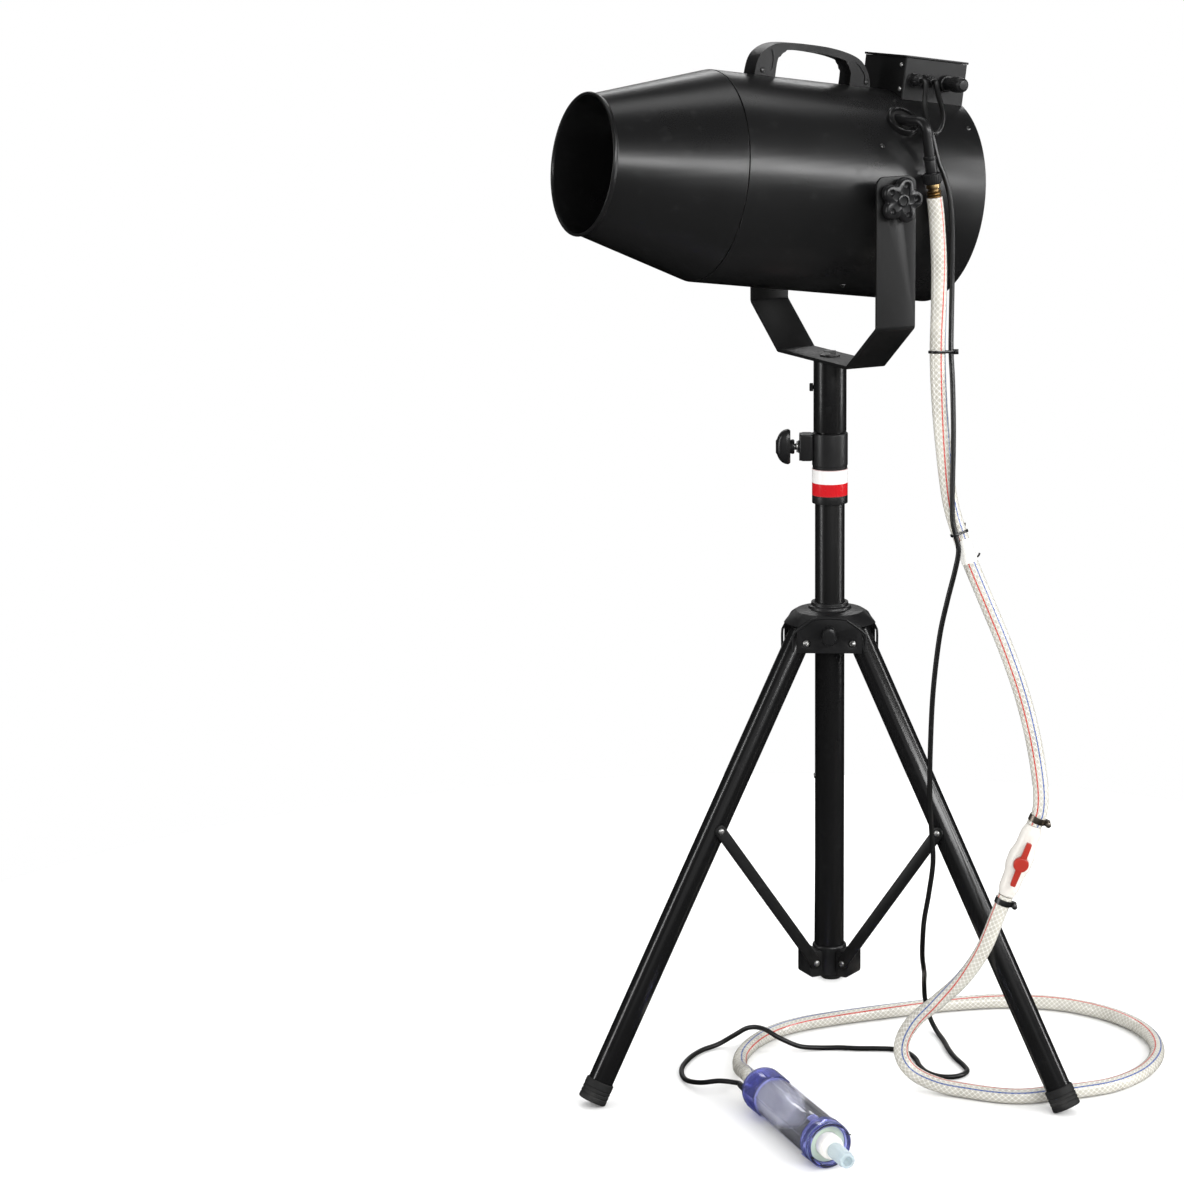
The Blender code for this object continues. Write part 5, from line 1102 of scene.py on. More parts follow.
# ---------------------------------------------------------------- barrel


def radial(x, turn, radius=0.0):
    """A matrix whose +Z points out of the shell, at a place along it and a turn in degrees from -Y up."""
    t = math.radians(turn)
    out = Vector((0, -math.cos(t), math.sin(t)))
    return along(out, Vector((x, 0, 0)) + out * radius)


def shell_round(bm=None):
    """A cutter for what would stand inside the shell."""
    return drill(BARREL_R + GAP, SEAM_X, REAR_X + 0.05, 192, LENGTHWAYS, bm)


INNER_R = BARREL_R - BARREL_WALL


def build_shell():
    holes = drill(TILT_HOLE_R, -0.2, 0.2, 40, along((0, 1, 0)))
    drill(PORT_HOLE_R, 0.1, 0.14, 64, radial(PORT_X, PORT_TURN), holes)
    bm = pipe(BARREL_R, INNER_R, SEAM_X, REAR_X, 192, LENGTHWAYS)
    piece("shell_tube", bm, "shell", "barrel", "barrel_shell", BARREL, holes)
    lap = INNER_R - GAP
    profile = [
        (MOUTH_R + 0.0013, MOUTH_X - 0.0004), (MOUTH_R + 0.0026, MOUTH_X + 0.0010),
        (MOUTH_R + 0.0022, MOUTH_X + 0.0034), (MOUTH_R + 0.0008, MOUTH_X + 0.0060),
        (BARREL_R - 0.0004, SEAM_X - 0.0012), (BARREL_R - 0.0012, SEAM_X - 0.0004),
        (lap, SEAM_X - 0.0004), (lap, SEAM_X + 0.014), (lap - BARREL_WALL, SEAM_X + 0.014),
        (lap - BARREL_WALL, SEAM_X - 0.001), (MOUTH_R - BARREL_WALL, MOUTH_X + 0.003),
        (MOUTH_R - BARREL_WALL + 0.0006, MOUTH_X),
    ]
    piece("cone", turned(profile, 192, LENGTHWAYS, ease=0.0006), "shell", "barrel", "nozzle_cone", BARREL)

    spots = [(-0.001, 28 + 90 * k) for k in range(4)] + [(0.123, 46 + 90 * k) for k in range(4)]
    facing = [radial(x, t, BARREL_R - 0.0002) for x, t in spots]
    screws("shell_screws", [(m.translation, m.col[2].xyz) for m in facing], 0.0033, 0.0022,
           "dark_zinc")


def star_radius(turn):
    """The outline of a star grip with five broad round lobes and a scallop between each two."""
    off = (turn + math.pi / 5) % (2 * math.pi / 5) - math.pi / 5
    across = 0.0165 * math.sin(off)
    lobe = 0.0165 * math.cos(off) + math.sqrt(max(0.0, 0.0095 ** 2 - across ** 2))
    return (lobe ** 14 + 0.0192 ** 14) ** (1 / 14)


def build_studs():
    for name, side in (("near", -1), ("far", 1)):
        nut_out = math.sqrt(INNER_R ** 2 - 0.009 ** 2) - 3 * GAP
        arm, end = YOKE_HALF - YOKE_THICK - GAP, YOKE_HALF + 0.010
        profile = [
            (0, nut_out - 0.006), (0.009, nut_out - 0.006), (0.009, nut_out), (0.005, nut_out),
            (0.005, BARREL_R + GAP), (0.012, BARREL_R + GAP), (0.012, arm), (0.005, arm),
            (0.005, end), (0, end),
        ]
        piece("tilt_stud_" + name, turned(profile, 64, along((0, side, 0))), "tube", "barrel",
              "pivot_stud_" + name, BARREL)
        low, high, face = 0.0048, 0.016, YOKE_HALF + GAP
        at = along((0, side, 0), (0, side * face, 0)) @ spun(12)
        levels = [(0.009, low - 0.0012), (0.0014, low), (0.0, low + 0.0022), (0.0, high - 0.0030),
                  (0.0008, high - 0.0012), (0.0026, high - 0.0002), (0.0095, high), (0.0102, high - 0.0012),
                  (0.0155, high - 0.0016)]
        bm = crowned(star_radius, levels, at, None, 180)
        dimples = bmesh.new()
        for k in range(5):
            lobe = at @ spun(72 * k) @ Matrix.Translation((0.0172, 0, high))
            dimple = [(0, -0.0032), (0.0022, -0.0030), (0.0044, 0.0004), (0.0044, 0.003), (0, 0.003)]
            turned(dimple, 28, lobe, dimples, 0.0003)
        turned([(0, 0), (0.0145, 0), (0.0150, 0.001), (0.0128, low + 0.002), (0, low + 0.002)], 64, at, bm)
        boss = [(0, high - 0.003), (0.0072, high - 0.003), (0.0072, high - 0.0002), (0.0052, high + 0.0004),
                (0.0046, high - 0.0012), (0, high - 0.0012)]
        turned(boss, 48, at, bm, 0.0003)
        body = name + "_tilt_knob"
        piece("tilt_star_" + name, bm, "knob", body, "tilt_knob_" + name, BARREL, dimples)


def build_handle():
    front, back, foot = -0.124, 0.029, BARREL_R - 0.006
    outer = [(front, foot), (front + 0.0022, 0.1340), (front + 0.0080, 0.1460), (front + 0.0215, 0.1555),
             (front + 0.0400, 0.1592), (-0.0560, 0.1600), (-0.0280, 0.1590), (-0.0030, 0.1550),
             (0.0130, 0.1485), (0.0225, 0.1380), (back - 0.0020, 0.1280), (back, foot)]
    inner = [(0.0010, foot), (0.0010, 0.1340), (-0.0010, 0.1420), (-0.0075, 0.1468), (-0.0280, 0.1505),
             (-0.0560, 0.1520), (-0.0840, 0.1510), (-0.0925, 0.1470), (-0.0960, 0.1370), (-0.0968, foot)]
    outline = [(p.x, p.y) for run in (outer, inner)
               for p in smooth_route([(x, z, 0) for x, z in run], 0.0030)]
    half = 0.013
    bm = slab(outline, -half, half, SIDE_ON)
    rims = [e for e in bm.edges if abs(abs(e.verts[0].co.y) - half) < 1e-6
            and e.verts[0].co.y * e.verts[1].co.y > 0
            and max(v.co.z for v in e.verts) > foot + 0.001]
    bmesh.ops.bevel(bm, geom=rims, offset=0.0020, segments=4, affect="EDGES", profile=0.5)
    cuts = shell_round()
    panels = ([(-0.1185, 0.127), (-0.1140, 0.1420), (-0.1045, 0.1505), (-0.1010, 0.1400), (-0.1015, 0.127)],
              [(0.0055, 0.127), (0.0055, 0.1390), (0.0035, 0.1470), (0.0110, 0.1435), (0.0190, 0.1350),
               (0.0215, 0.127)])
    for panel in panels:
        for side in (-1, 1):
            low, high = sorted((side * (half - 0.0011), side * (half + 0.004)))
            slab(eased(panel, 0.003, 4), low, high, SIDE_ON, cuts)
    piece("handle", bm, "moulded", "barrel", "carry_handle", BARREL, cuts)
    feet = ((back - 0.0068, -1), (back - 0.0070, 1), (front + 0.0100, -1), (front + 0.0100, 1))
    spots = [((x, side * (half + 0.0001), 0.1255), (0, side, 0)) for x, side in feet]
    screws("handle_screws", spots, 0.0030, 0.0018, "dark_zinc")


def build_box():
    length, wide = BOX_LENGTH, 2 * BOX_HALF
    middle = BOX_FRONT + length / 2
    height = BOX_TOP - BOX_LOW
    bm = block((length, wide, height), (middle, 0, BOX_LOW + height / 2), corner=0.0022)
    cuts = block((length - 0.004, wide - 0.004, height + 0.04), (middle, 0, BOX_LOW + height / 2),
                 corner=0.0010)
    shell_round(cuts)
    for x in (*GLAND_X, SOCKET_X):
        drill(0.006, -0.01, 0.01, 32, along((0, -1, 0), (x, -BOX_HALF, GLAND_UP)), cuts)
    piece("box_walls", bm, "bracket", "barrel", "control_box", BARREL, cuts)
    lid = block((length + 0.003, wide + 0.003, 0.0025), (middle, 0, BOX_TOP + GAP + 0.00125), corner=0.0035)
    piece("box_cover", lid, "bracket", "barrel", "control_box_lid", BARREL, edge=0.0006)
    spots = [((BOX_FRONT - 0.0001, y, z), (-1, 0, 0)) for y, z in
             ((-0.037, 0.1495), (-0.040, 0.1220))]
    spots += [((BOX_FRONT + length + 0.0001, y, z), (1, 0, 0)) for y, z in
              ((-0.037, 0.1495), (0.037, 0.1495))]
    screws("box_screws", spots, 0.0027, 0.0017, "zinc")
    corners = hexagon(0.0080)
    for name, x, cable in zip(("pump_cable_gland", "motor_lead_gland"), GLAND_X, (CABLE_D, LEAD_D)):
        at = along((0, -1, 0), (x, -BOX_HALF, GLAND_UP))
        bm = turned([(0, -0.006), (0.0057, -0.006), (0.0057, 0.001), (0, 0.001)], 40, at)
        turned([(0, GAP), (0.0080, GAP), (0.0080, 0.0015), (0, 0.0015)], 48, at, bm)
        crowned(corners, [(0.0006, 0.0012), (0, 0.0018), (0, 0.0056), (0.0006, 0.0062)], at, bm)
        ribbed = lambda t: 0.0068 + 0.00030 * math.cos(14 * t)
        crowned(ribbed, [(0.0006, 0.0060), (0, 0.0068), (0, 0.0120), (0.0008, 0.0135), (0.0020, 0.0150)],
                at, bm)
        sleeve = [(0, 0.014), (0.0048, 0.014), (cable / 2 + 0.0010, GLAND_REACH - 0.0002),
                  (cable / 2 + 0.0004, GLAND_REACH), (0, GLAND_REACH)]
        turned(sleeve, 40, at, bm)
        piece("gland_" + name[:4], bm, "moulded", "barrel", name, BARREL)

    at = along((0, -1, 0), (SOCKET_X, -BOX_HALF, GLAND_UP))
    profile = [
        (0, -0.006), (0.0057, -0.006), (0.0057, GAP), (0.0095, GAP), (0.0095, 0.0062), (0.0086, 0.007),
        (0.0072, 0.007), (0.0072, 0.017), (0.0080, 0.0175), (0.0080, 0.020), (0.0085, 0.0205),
        (0.0085, SOCKET_REACH - 0.006), (0.0078, SOCKET_REACH - 0.003), (0.0060, SOCKET_REACH - 0.002),
        (0.0056, SOCKET_REACH), (0, SOCKET_REACH),
    ]
    bm = turned(profile, 56, at, ease=0.0005)
    grip = lambda t: 0.00875 + 0.00025 * math.cos(20 * t)
    crowned(grip, [(0.0007, 0.0215), (0, 0.0222), (0, 0.0318), (0.0007, 0.0325)], at, bm)
    crowned(corners, [(0, 0.0068), (0, 0.0102), (0.0007, 0.0108)], at, bm)
    piece("power_socket", bm, "moulded", "barrel", "power_inlet", BARREL)

    bm = block((0.045, 0.022, 0.010), (middle, 0, BARREL_R + 0.006), corner=0.001)
    for k in range(5):
        block((0.007, 0.020, 0.008), (middle + 0.009 * (k - 2), 0, BARREL_R + 0.0135), None, bm, 0.001)
    piece("terminals", bm, "white", "barrel", "terminal_block", BARREL)


def build_inlet():
    at = radial(PORT_X, PORT_TURN)
    ring = [(PORT_R, BARREL_R - 0.006), (PORT_R, BARREL_R + 0.0045), (0.0185, BARREL_R + 0.0065),
            (0.0158, BARREL_R + 0.0065), (PORT_HOLE_R, BARREL_R + 0.0052),
            (PORT_HOLE_R, BARREL_R - 0.006)]
    piece("port_ring", turned(ring, 96, at, ease=0.0008), "shell", "barrel", "inlet_port", BARREL,
          shell_round())
    nut_start = ELBOW_CORNER + ELBOW_DOWN * ELBOW_DROP
    nut_end = nut_start + ELBOW_DOWN * ELBOW_NUT
    start = from_barrel(ELBOW_START)
    run = rounded([start, start - Vector((0, 0.030, 0)), ELBOW_CORNER, nut_end], 0.013, 10)
    # Painted shade: a black rubber disc closes the port round the elbow and stands in for the shaded inside of
    # the barrel.
    disc = rod(PORT_HOLE_R - 0.0001, BARREL_R - 0.0010, BARREL_R + 0.0030, 96, at, ease=0.0006)
    piece("port_grommet", disc, "rubber", "barrel", (), BARREL,
          swept(run, 0.0061, 40, BARREL.inverted() @ STAND))
    bm = swept(run, 0.006, 40)
    for low, high, r in ((-0.0195, -0.0150, 0.0074), (-0.0150, -0.0008, 0.0068)):
        turned([(0, low), (r, low), (r, high), (0, high)], 48, along(ELBOW_DOWN, nut_start), bm)
    nut = lambda t: 0.0103 + 0.0002 * math.cos(24 * t)
    at = along(ELBOW_DOWN, nut_start)
    crowned(nut, [(0.0012, 0), (0, 0.0010), (0, 0.0098), (0.0014, ELBOW_NUT)], at, bm)
    piece("inlet_pipe", bm, "moulded", "barrel", "inlet_elbow")
    profile = [(0, 0), (0.0078, 0), (0.0080, 0.0045), (0.0062, 0.0052), (0.0062, 0.0078)]
    for k in range(2):
        z = 0.0080 + 0.0032 * k
        profile += [(0.0086, z + 0.0002), (0.0070, z + 0.0030)]
    profile += [(0.0085, 0.0144), (0.0080, TAIL_LENGTH), (0, TAIL_LENGTH)]
    piece("brass_tail", turned(profile, 56, along(ELBOW_DOWN, nut_end + ELBOW_DOWN * GAP), ease=0.0003),
          "brass", "barrel", "hose_tail")


def build_blower():
    """The motor, its bracket, the fan, the net, the guard and the spray pipe inside the barrel."""
    front, end = -0.012, 0.073
    profile = [(0.0055, front), (0.040, front), (0.0445, front + 0.0045), (0.045, front + 0.012),
               (0.045, end - 0.014), (0.0435, end - 0.008), (0.036, end), (0.012, end),
               (0.012, end + 0.002), (0, end + 0.002), (0, front + 0.022), (0.0055, front + 0.022)]
    bm = turned(profile, 96, LENGTHWAYS, ease=0.001)
    piece("fan_motor_case", bm, "motor", "barrel", "fan_motor", BARREL)
    ring_start, thick = front + 0.005, 0.012
    bm = pipe(0.049, 0.0453, ring_start, ring_start + thick, 96, LENGTHWAYS)
    for k in range(4):
        at = radial(0, 28 + 90 * k)
        across = at.to_3x3().inverted() @ Vector((1, 0, 0))
        at = at @ Matrix.Rotation(math.atan2(across.y, across.x), 4, "Z")
        arm_end = INNER_R - 2 * GAP
        middle = (ring_start + thick / 2, 0, (0.047 + arm_end) / 2)
        block((0.0030, 0.014, arm_end - 0.047), middle, at, bm, 0.0008)
        block((thick, 0.014, 0.0022), (ring_start + thick / 2, 0, arm_end - 0.0014), at, bm, 0.0008)
    piece("motor_cradle", bm, "motor", "barrel", "motor_bracket", BARREL)

    hub = 0.022
    hub_end = -0.028
    profile = [(0, -0.0625), (0.012, -0.0620), (0.019, -0.0588), (hub, -0.0530), (hub, hub_end),
               (0.005, hub_end), (0.005, front + 0.021), (0, front + 0.021)]
    bm = turned(profile, 72, LENGTHWAYS, ease=0.001)
    for k in range(5):
        around = spun(72 * k, "X")
        rings = []
        for n in range(15):
            r = hub - 0.004 + (0.095 - hub + 0.004) * n / 14
            pitch = math.radians(46 - 26 * n / 14)
            chord = 0.040 + 0.016 * math.sin(math.pi * min(1, n / 12) * 0.75)
            if n > 11:
                chord *= 1 - 0.10 * (n - 11) ** 2 / 3
            ring = []
            for k2 in range(20):
                t = 2 * math.pi * k2 / 20
                x, y = chord / 2 * math.cos(t), 0.00125 * math.sin(t)
                y += 0.004 * (1 - (2 * x / chord) ** 2)
                ring.append((-0.043 + y * math.cos(pitch) + x * math.sin(pitch),
                             x * math.cos(pitch) - y * math.sin(pitch), r))
            rings.append(ring)
        layered(rings, around, bm)
    piece("fan_blades", bm, "grey", "fan", "fan_rotor", BARREL)

    start = ELBOW_START + Vector((0, GAP, 0))
    run = [start, (start.x, -0.0655, start.z), (-0.105, -0.0655, 0.0860), (-0.105, 0, 0), (-0.133, 0, 0)]
    bm = swept(rounded(run, 0.010, 8), 0.004, 28)
    at = along((-1, 0, 0), (-0.129, 0, 0))
    turned([(0, -0.004), (0.007, -0.004), (0.007, 0.0), (0.0095, 0.0045), (0.0095, 0.008), (0.006, 0.0085),
            (0.005, 0.0070), (0, 0.0070)], 48, at, bm, 0.0004)
    piece("spray_tube", bm, "brass", "barrel", "spray_pipe", BARREL)

    bm = pipe(INNER_R - 3 * GAP, INNER_R - 0.003, REAR_X - 0.018, REAR_X - 0.004, 144, LENGTHWAYS)
    plain = plain_object("guard_seed", bm)
    grown("guard_wires", plain, guard_shape(), "tube", "barrel", "rear_guard", BARREL,
          reach=INNER_R - 0.0030, wire=0.0017, rings=7, back=REAR_X - 0.0072)
    bm = pipe(INNER_R - 2 * GAP - BARREL_WALL - 0.0008, INNER_R - 0.0062, -0.1660, -0.1630, 144, LENGTHWAYS)
    plain = plain_object("net_seed", bm)
    grown("foam_net", plain, net_shape(), "net", "barrel", "foam_screen", BARREL,
          reach=INNER_R - 0.0045, pitch=0.0050, wire=0.0005, place=-0.1645)


def guard_shape():
    """Round wires on a ring, with spokes across them, added to what the tree is given."""
    shape = Shape("wire_guard", reach="Float", wire="Float", rings="Int", back="Float")
    reach, wire, rings, back = (shape.given(n) for n in ("reach", "wire", "rings", "back"))
    count = rings + 1
    lift = shape.node("ShaderNodeCombineXYZ", (), {0: back})
    line = shape.node("GeometryNodeMeshLine", (), {"Count": rings, "Offset": (0.0, 0.0, 0.0)})
    index = shape.node("GeometryNodeInputIndex")
    wide = (index + 1) * reach / count
    circle = shape.circle(96, 1.0)
    scale = shape.node("ShaderNodeCombineXYZ", (), {0: wide, 1: wide, 2: 1.0})
    circles = shape.copies(line, circle, Scale=scale)
    ends = shape.node("ShaderNodeCombineXYZ", (), {0: reach})
    spoke = shape.node("GeometryNodeCurvePrimitiveLine", (), {"Start": (0.0, 0.0, 0.0), "End": ends})
    eight = shape.node("GeometryNodeMeshLine", (), {"Count": 8, "Offset": (0.0, 0.0, 0.0)})
    turn = shape.node("ShaderNodeCombineXYZ", (), {2: index * (math.pi / 4) + 0.2})
    spokes = shape.copies(eight, spoke, Rotation=turn)
    back_step = shape.node("ShaderNodeCombineXYZ", (), {2: wire * 1.6})
    spokes = shape.moved(spokes, Translation=back_step)
    drawn = shape.node("GeometryNodeRealizeInstances", (), {0: shape.join(circles, spokes)})
    wires = shape.wires(drawn, shape.circle(10, wire))
    disc = {"Vertices": 48, "Radius": wire * 11, "Depth": wire * 1.5}
    plate = shape.node("GeometryNodeMeshCylinder", (), disc)
    facing = shape.moved(shape.join(wires, plate), Rotation=(0.0, math.pi / 2, 0.0), Translation=lift)
    shape.done(shape.join(shape.given("Geometry"), facing))
    return shape


def net_shape():
    """A square net of fine wires inside a circle, added to what the tree is given."""
    shape = Shape("wire_net", reach="Float", pitch="Float", wire="Float", place="Float")
    reach, pitch, wire, place = (shape.given(n) for n in ("reach", "pitch", "wire", "place"))
    count = (reach * 2 / pitch).math("FLOOR") + 1
    size = (count - 1) * pitch
    grid = shape.node("GeometryNodeMeshGrid", (), {0: size, 1: size, 2: count, 3: count})
    spot = shape.node("GeometryNodeInputPosition")
    far = shape.node("ShaderNodeVectorMath", {"operation": "LENGTH"}, {0: spot}, 1)
    inside = shape.node("GeometryNodeDeleteGeometry", {"domain": "POINT"}, {0: grid, 1: far > reach})
    lines = shape.node("GeometryNodeMeshToCurve", (), {0: inside})
    wires = shape.wires(lines, shape.circle(4, wire))
    lift = shape.node("ShaderNodeCombineXYZ", (), {0: place})
    facing = shape.moved(wires, Rotation=(0.0, math.pi / 2, 0.0), Translation=lift)
    shape.done(shape.join(shape.given("Geometry"), facing))
    return shape


build_shell()
build_studs()
build_handle()
build_box()
build_inlet()
build_blower()


# ---------------------------------------------------------------- hub, legs, braces


def build_hub():
    bore, ring, roof, edge, slot_top = COLUMN_R + 0.00035, 0.022, 0.566, 0.5505, 0.5535
    profile = [
        (bore, HUB_BOTTOM), (HUB_ROUND_R, HUB_BOTTOM), (HUB_ROUND_R, edge), (HUB_FACE_R, roof),
        (ring + 0.0035, roof + 0.0022), (ring + 0.0030, roof + 0.0052), (ring + 0.0012, roof + 0.0058),
        (ring, roof + 0.0064), (ring, HUB_TOP), (bore, HUB_TOP),
    ]
    bm = turned(profile, 144, ease=0.0008)
    keep = []
    for k in range(6):
        first = HUB_FACE_R if k % 2 == 0 else HUB_ROUND_R * 1.05
        second = HUB_ROUND_R * 1.05 if k % 2 == 0 else HUB_FACE_R
        a, b = math.radians(60 * k), math.radians(60 * (k + 1))
        turn = Matrix(((math.cos(a), math.sin(a)), (math.cos(b), math.sin(b))))
        keep.append(tuple(turn.inverted() @ Vector((first, second))))
    casting = plain_object("hub", bm)
    fence = plain_object("hub_fence", slab(eased(keep, 0.004, 4), HUB_BOTTOM - 0.01, HUB_TOP + 0.01))
    cut = casting.modifiers.new("fence", "BOOLEAN")
    cut.operation, cut.solver, cut.object = "INTERSECT", "EXACT", fence
    settle(casting)
    bpy.data.objects.remove(fence, do_unlink=True)
    slot_half = LEG_R + 2 * GAP
    holes = bmesh.new()
    seat, head_r = slot_half + 0.0035, 0.0042
    for name, turn in LEG_TURNS.items():
        around = Matrix.Rotation(turn, 4, "Z")
        start = COLUMN_R + 0.006
        size = (0.06, 2 * slot_half, slot_top - HUB_BOTTOM + 0.02)
        block(size, (start + 0.03, 0, slot_top - size[2] / 2), around, holes)
        at = around @ along((0, 1, 0), (HUB_PIVOT_R, 0, HUB_Z))
        drill(HUB_BOLT_HOLE_R, -seat - 0.01, seat + 0.01, 24, at, holes)
        for side in (-1, 1):
            low, high = sorted((side * seat, side * (seat + 0.02)))
            drill(head_r + GAP, low, high, 32, at, holes)
    drill(HUB_BOLT_HOLE_R, 0, 0.06, 24, along(HUB_KNOB_OUT, (0, 0, HUB_KNOB_Z)), holes)
    bm = bmesh.new()
    bm.from_mesh(casting.data)
    bpy.data.objects.remove(casting, do_unlink=True)
    piece("hub_body", bm, "moulded", "hub", "hub_casting", cuts=holes, edge=0.0007)

    for face in (0, 120, 240):
        out = outward(math.radians(face))
        upright = axes((-out.y, out.x, 0), (0, 0, 1), out, out * (HUB_FACE_R + 0.0001))
        rise = [(0.0425, HUB_BOTTOM + 0.0015), (0.0425, 0.5420), (0.0395, 0.5475), (0.0240, 0.5590),
                (0.0170, 0.5625)]
        line = [(-x, y) for x, y in rise] + [(0, 0.5640)] + rise[::-1]
        bm = swept(smooth_route([(x, y, 0) for x, y in line], 0.0015), 0.0015, 12)
        bmesh.ops.transform(bm, matrix=upright, verts=bm.verts)
        piece("hub_bead_%d" % face, bm, "moulded", "hub", crease=60)

    for name, turn in LEG_TURNS.items():
        at = Matrix.Rotation(turn, 4, "Z") @ along((0, 1, 0), (HUB_PIVOT_R, 0, HUB_Z))
        head = seat + GAP
        half = [(0.003, head), (0.0042, head), (0.0042, head + 0.0012), (0.0038, head + 0.0026),
                (0.0022, head + 0.0040), (0, head + 0.0042)]
        profile = [(r, -z) for r, z in half[::-1]] + half
        cuts = bmesh.new()
        for side in (-1, 1):
            for turn in (20, 110):
                slot = at @ Matrix.Translation((0, 0, side * (head + 0.0042))) @ spun(turn)
                block((0.0042, 0.0009, 0.0030), matrix=slot, bm=cuts)
        bm = turned(profile, 40, at, ease=0.0003)
        piece("leg_bolt_" + name, bm, "zinc", "hub", "hub_bolt_" + name, cuts=cuts)

    place = HUB_KNOB_OUT * (HUB_FACE_R + 2 * GAP) + Vector((0, 0, HUB_KNOB_Z))
    at = wing_frame(HUB_KNOB_OUT, place)
    up = (at.to_3x3().inverted() @ Vector((0, 0, 1))).x

    def teardrop(t):
        c, s = math.cos(t) * math.copysign(1, up), math.sin(t)
        return 0.0086 + 0.0062 * max(0.0, c) ** 3 - 0.0006 * max(0.0, -c) + 0.0004 * s * s
    levels = [(0.0015, 0.0045), (0, 0.0060), (0, 0.0120), (0.0012, 0.0150), (0.0030, 0.0158), (0.0050, 0.0160)]
    bm = crowned(teardrop, levels, at)
    turned([(0, 0), (0.0056, 0), (0.0062, 0.0055), (0, 0.0055)], 40, at, bm)
    tip = HUB_FACE_R - COLUMN_R
    turned([(0, -tip), (0.003, -tip), (0.003, 0.001), (0, 0.001)], 28, at, bm)
    piece("hub_drop_knob", bm, "knob", "hub_knob", "leg_lock_knob")


def build_leg(name):
    turn = LEG_TURNS[name]
    out = outward(turn)
    at = (STAND @ Matrix.Translation(out * HUB_PIVOT_R + Vector((0, 0, HUB_Z)))
          @ Matrix.Rotation(turn, 4, "Z") @ Matrix.Rotation(-SPREAD, 4, "Y"))
    floor = -LEG_LENGTH
    tube_end = floor + 0.004 + GAP
    body = "leg_%s_body" % name
    bm = pipe(LEG_R, LEG_R - TUBE_WALL, tube_end, LEG_ABOVE, 72, ease=0.0004)
    hole = drill(HUB_BOLT_HOLE_R, -0.03, 0.03, 28, along((0, 1, 0)))
    piece("leg_tube_" + name, bm, "leg", body, "leg_" + name, at, hole)
    cap_r = LEG_R - 0.0018
    cap = [(0, LEG_ABOVE - 0.0028), (cap_r, LEG_ABOVE - 0.0028), (cap_r, LEG_ABOVE - 0.0006),
           (LEG_R - 0.004, LEG_ABOVE), (0, LEG_ABOVE)]
    piece("leg_cap_" + name, turned(cap, 56), "moulded", body, at=at)

    top = floor + FOOT_LENGTH
    profile = [(0, floor), (FOOT_R - 0.0012, floor), (FOOT_R, floor + 0.0012)]
    z = floor + 0.0060
    while z < top - 0.0070:
        profile += [(FOOT_R, z), (FOOT_R - 0.0006, z + 0.0006), (FOOT_R - 0.0006, z + 0.0014),
                    (FOOT_R, z + 0.0020)]
        z += 0.0046
    profile += [(FOOT_R, top - 0.0012), (FOOT_R - 0.0010, top), (LEG_R + GAP, top),
                (LEG_R + GAP, floor + 0.004), (0, floor + 0.004)]
    bm = turned(profile, 72, ease=0.0003)
    to_swing = Matrix.Rotation(SPREAD, 4, "Y")
    plane, down = to_swing @ Vector((0, 0, -HUB_Z)), to_swing @ Vector((0, 0, -1))
    geometry = bm.verts[:] + bm.edges[:] + bm.faces[:]
    cut = bmesh.ops.bisect_plane(bm, geom=geometry, plane_co=plane, plane_no=down, clear_outer=True)
    edges = [e for e in cut["geom_cut"] if isinstance(e, bmesh.types.BMEdge)]
    bmesh.ops.holes_fill(bm, edges=edges, sides=0)
    piece("rubber_foot_" + name, bm, "rubber", body, "foot_" + name, at)

    side = BRACE_SIDES[name]
    at = (STAND @ Matrix.Translation(out * BRACKET_R + Vector((0, 0, BRACKET_Z)))
          @ Matrix.Rotation(turn, 4, "Z") @ Matrix.Rotation(BRACE_LEAN, 4, "Y"))
    flat = axes((1, 0, 0), (0, 0, 1), (0, side, 0))
    outline = arc((0, 0), 0.007, 180, 360, 16) + arc((0, BRACE_LENGTH), 0.007, 0, 180, 16)
    start = LEG_R + 2 * GAP
    body = "brace_%s_body" % name
    top = start + BRACE_THICK
    piece("brace_bar_" + name, slab(outline, start, top, flat), "bracket", body, "brace_" + name, at,
          edge=0.0005)
    head = [(0.0038, top), (0.0036, top + 0.0012), (0.0024, top + 0.0022), (0, top + 0.0026)]
    dome = [(0, top - 0.001), (0.0030, top - 0.001)] + head
    upper = along((0, side, 0), (0, 0, BRACE_LENGTH))
    bm = turned(dome, 36, upper, ease=0.0003)
    pin = [(0, -start - 0.0026), (0.0024, -start - 0.0022), (0.0036, -start - 0.0012), (0.0038, -start),
           (0.0025, -start), (0.0025, top)] + head
    turned(pin, 36, along((0, side, 0)), bm, 0.0003)
    piece("brace_rivets_" + name, bm, "zinc", body, at=at)


build_hub()
for leg_name in LEG_TURNS:
    build_leg(leg_name)


# ---------------------------------------------------------------- valve, ties and pump


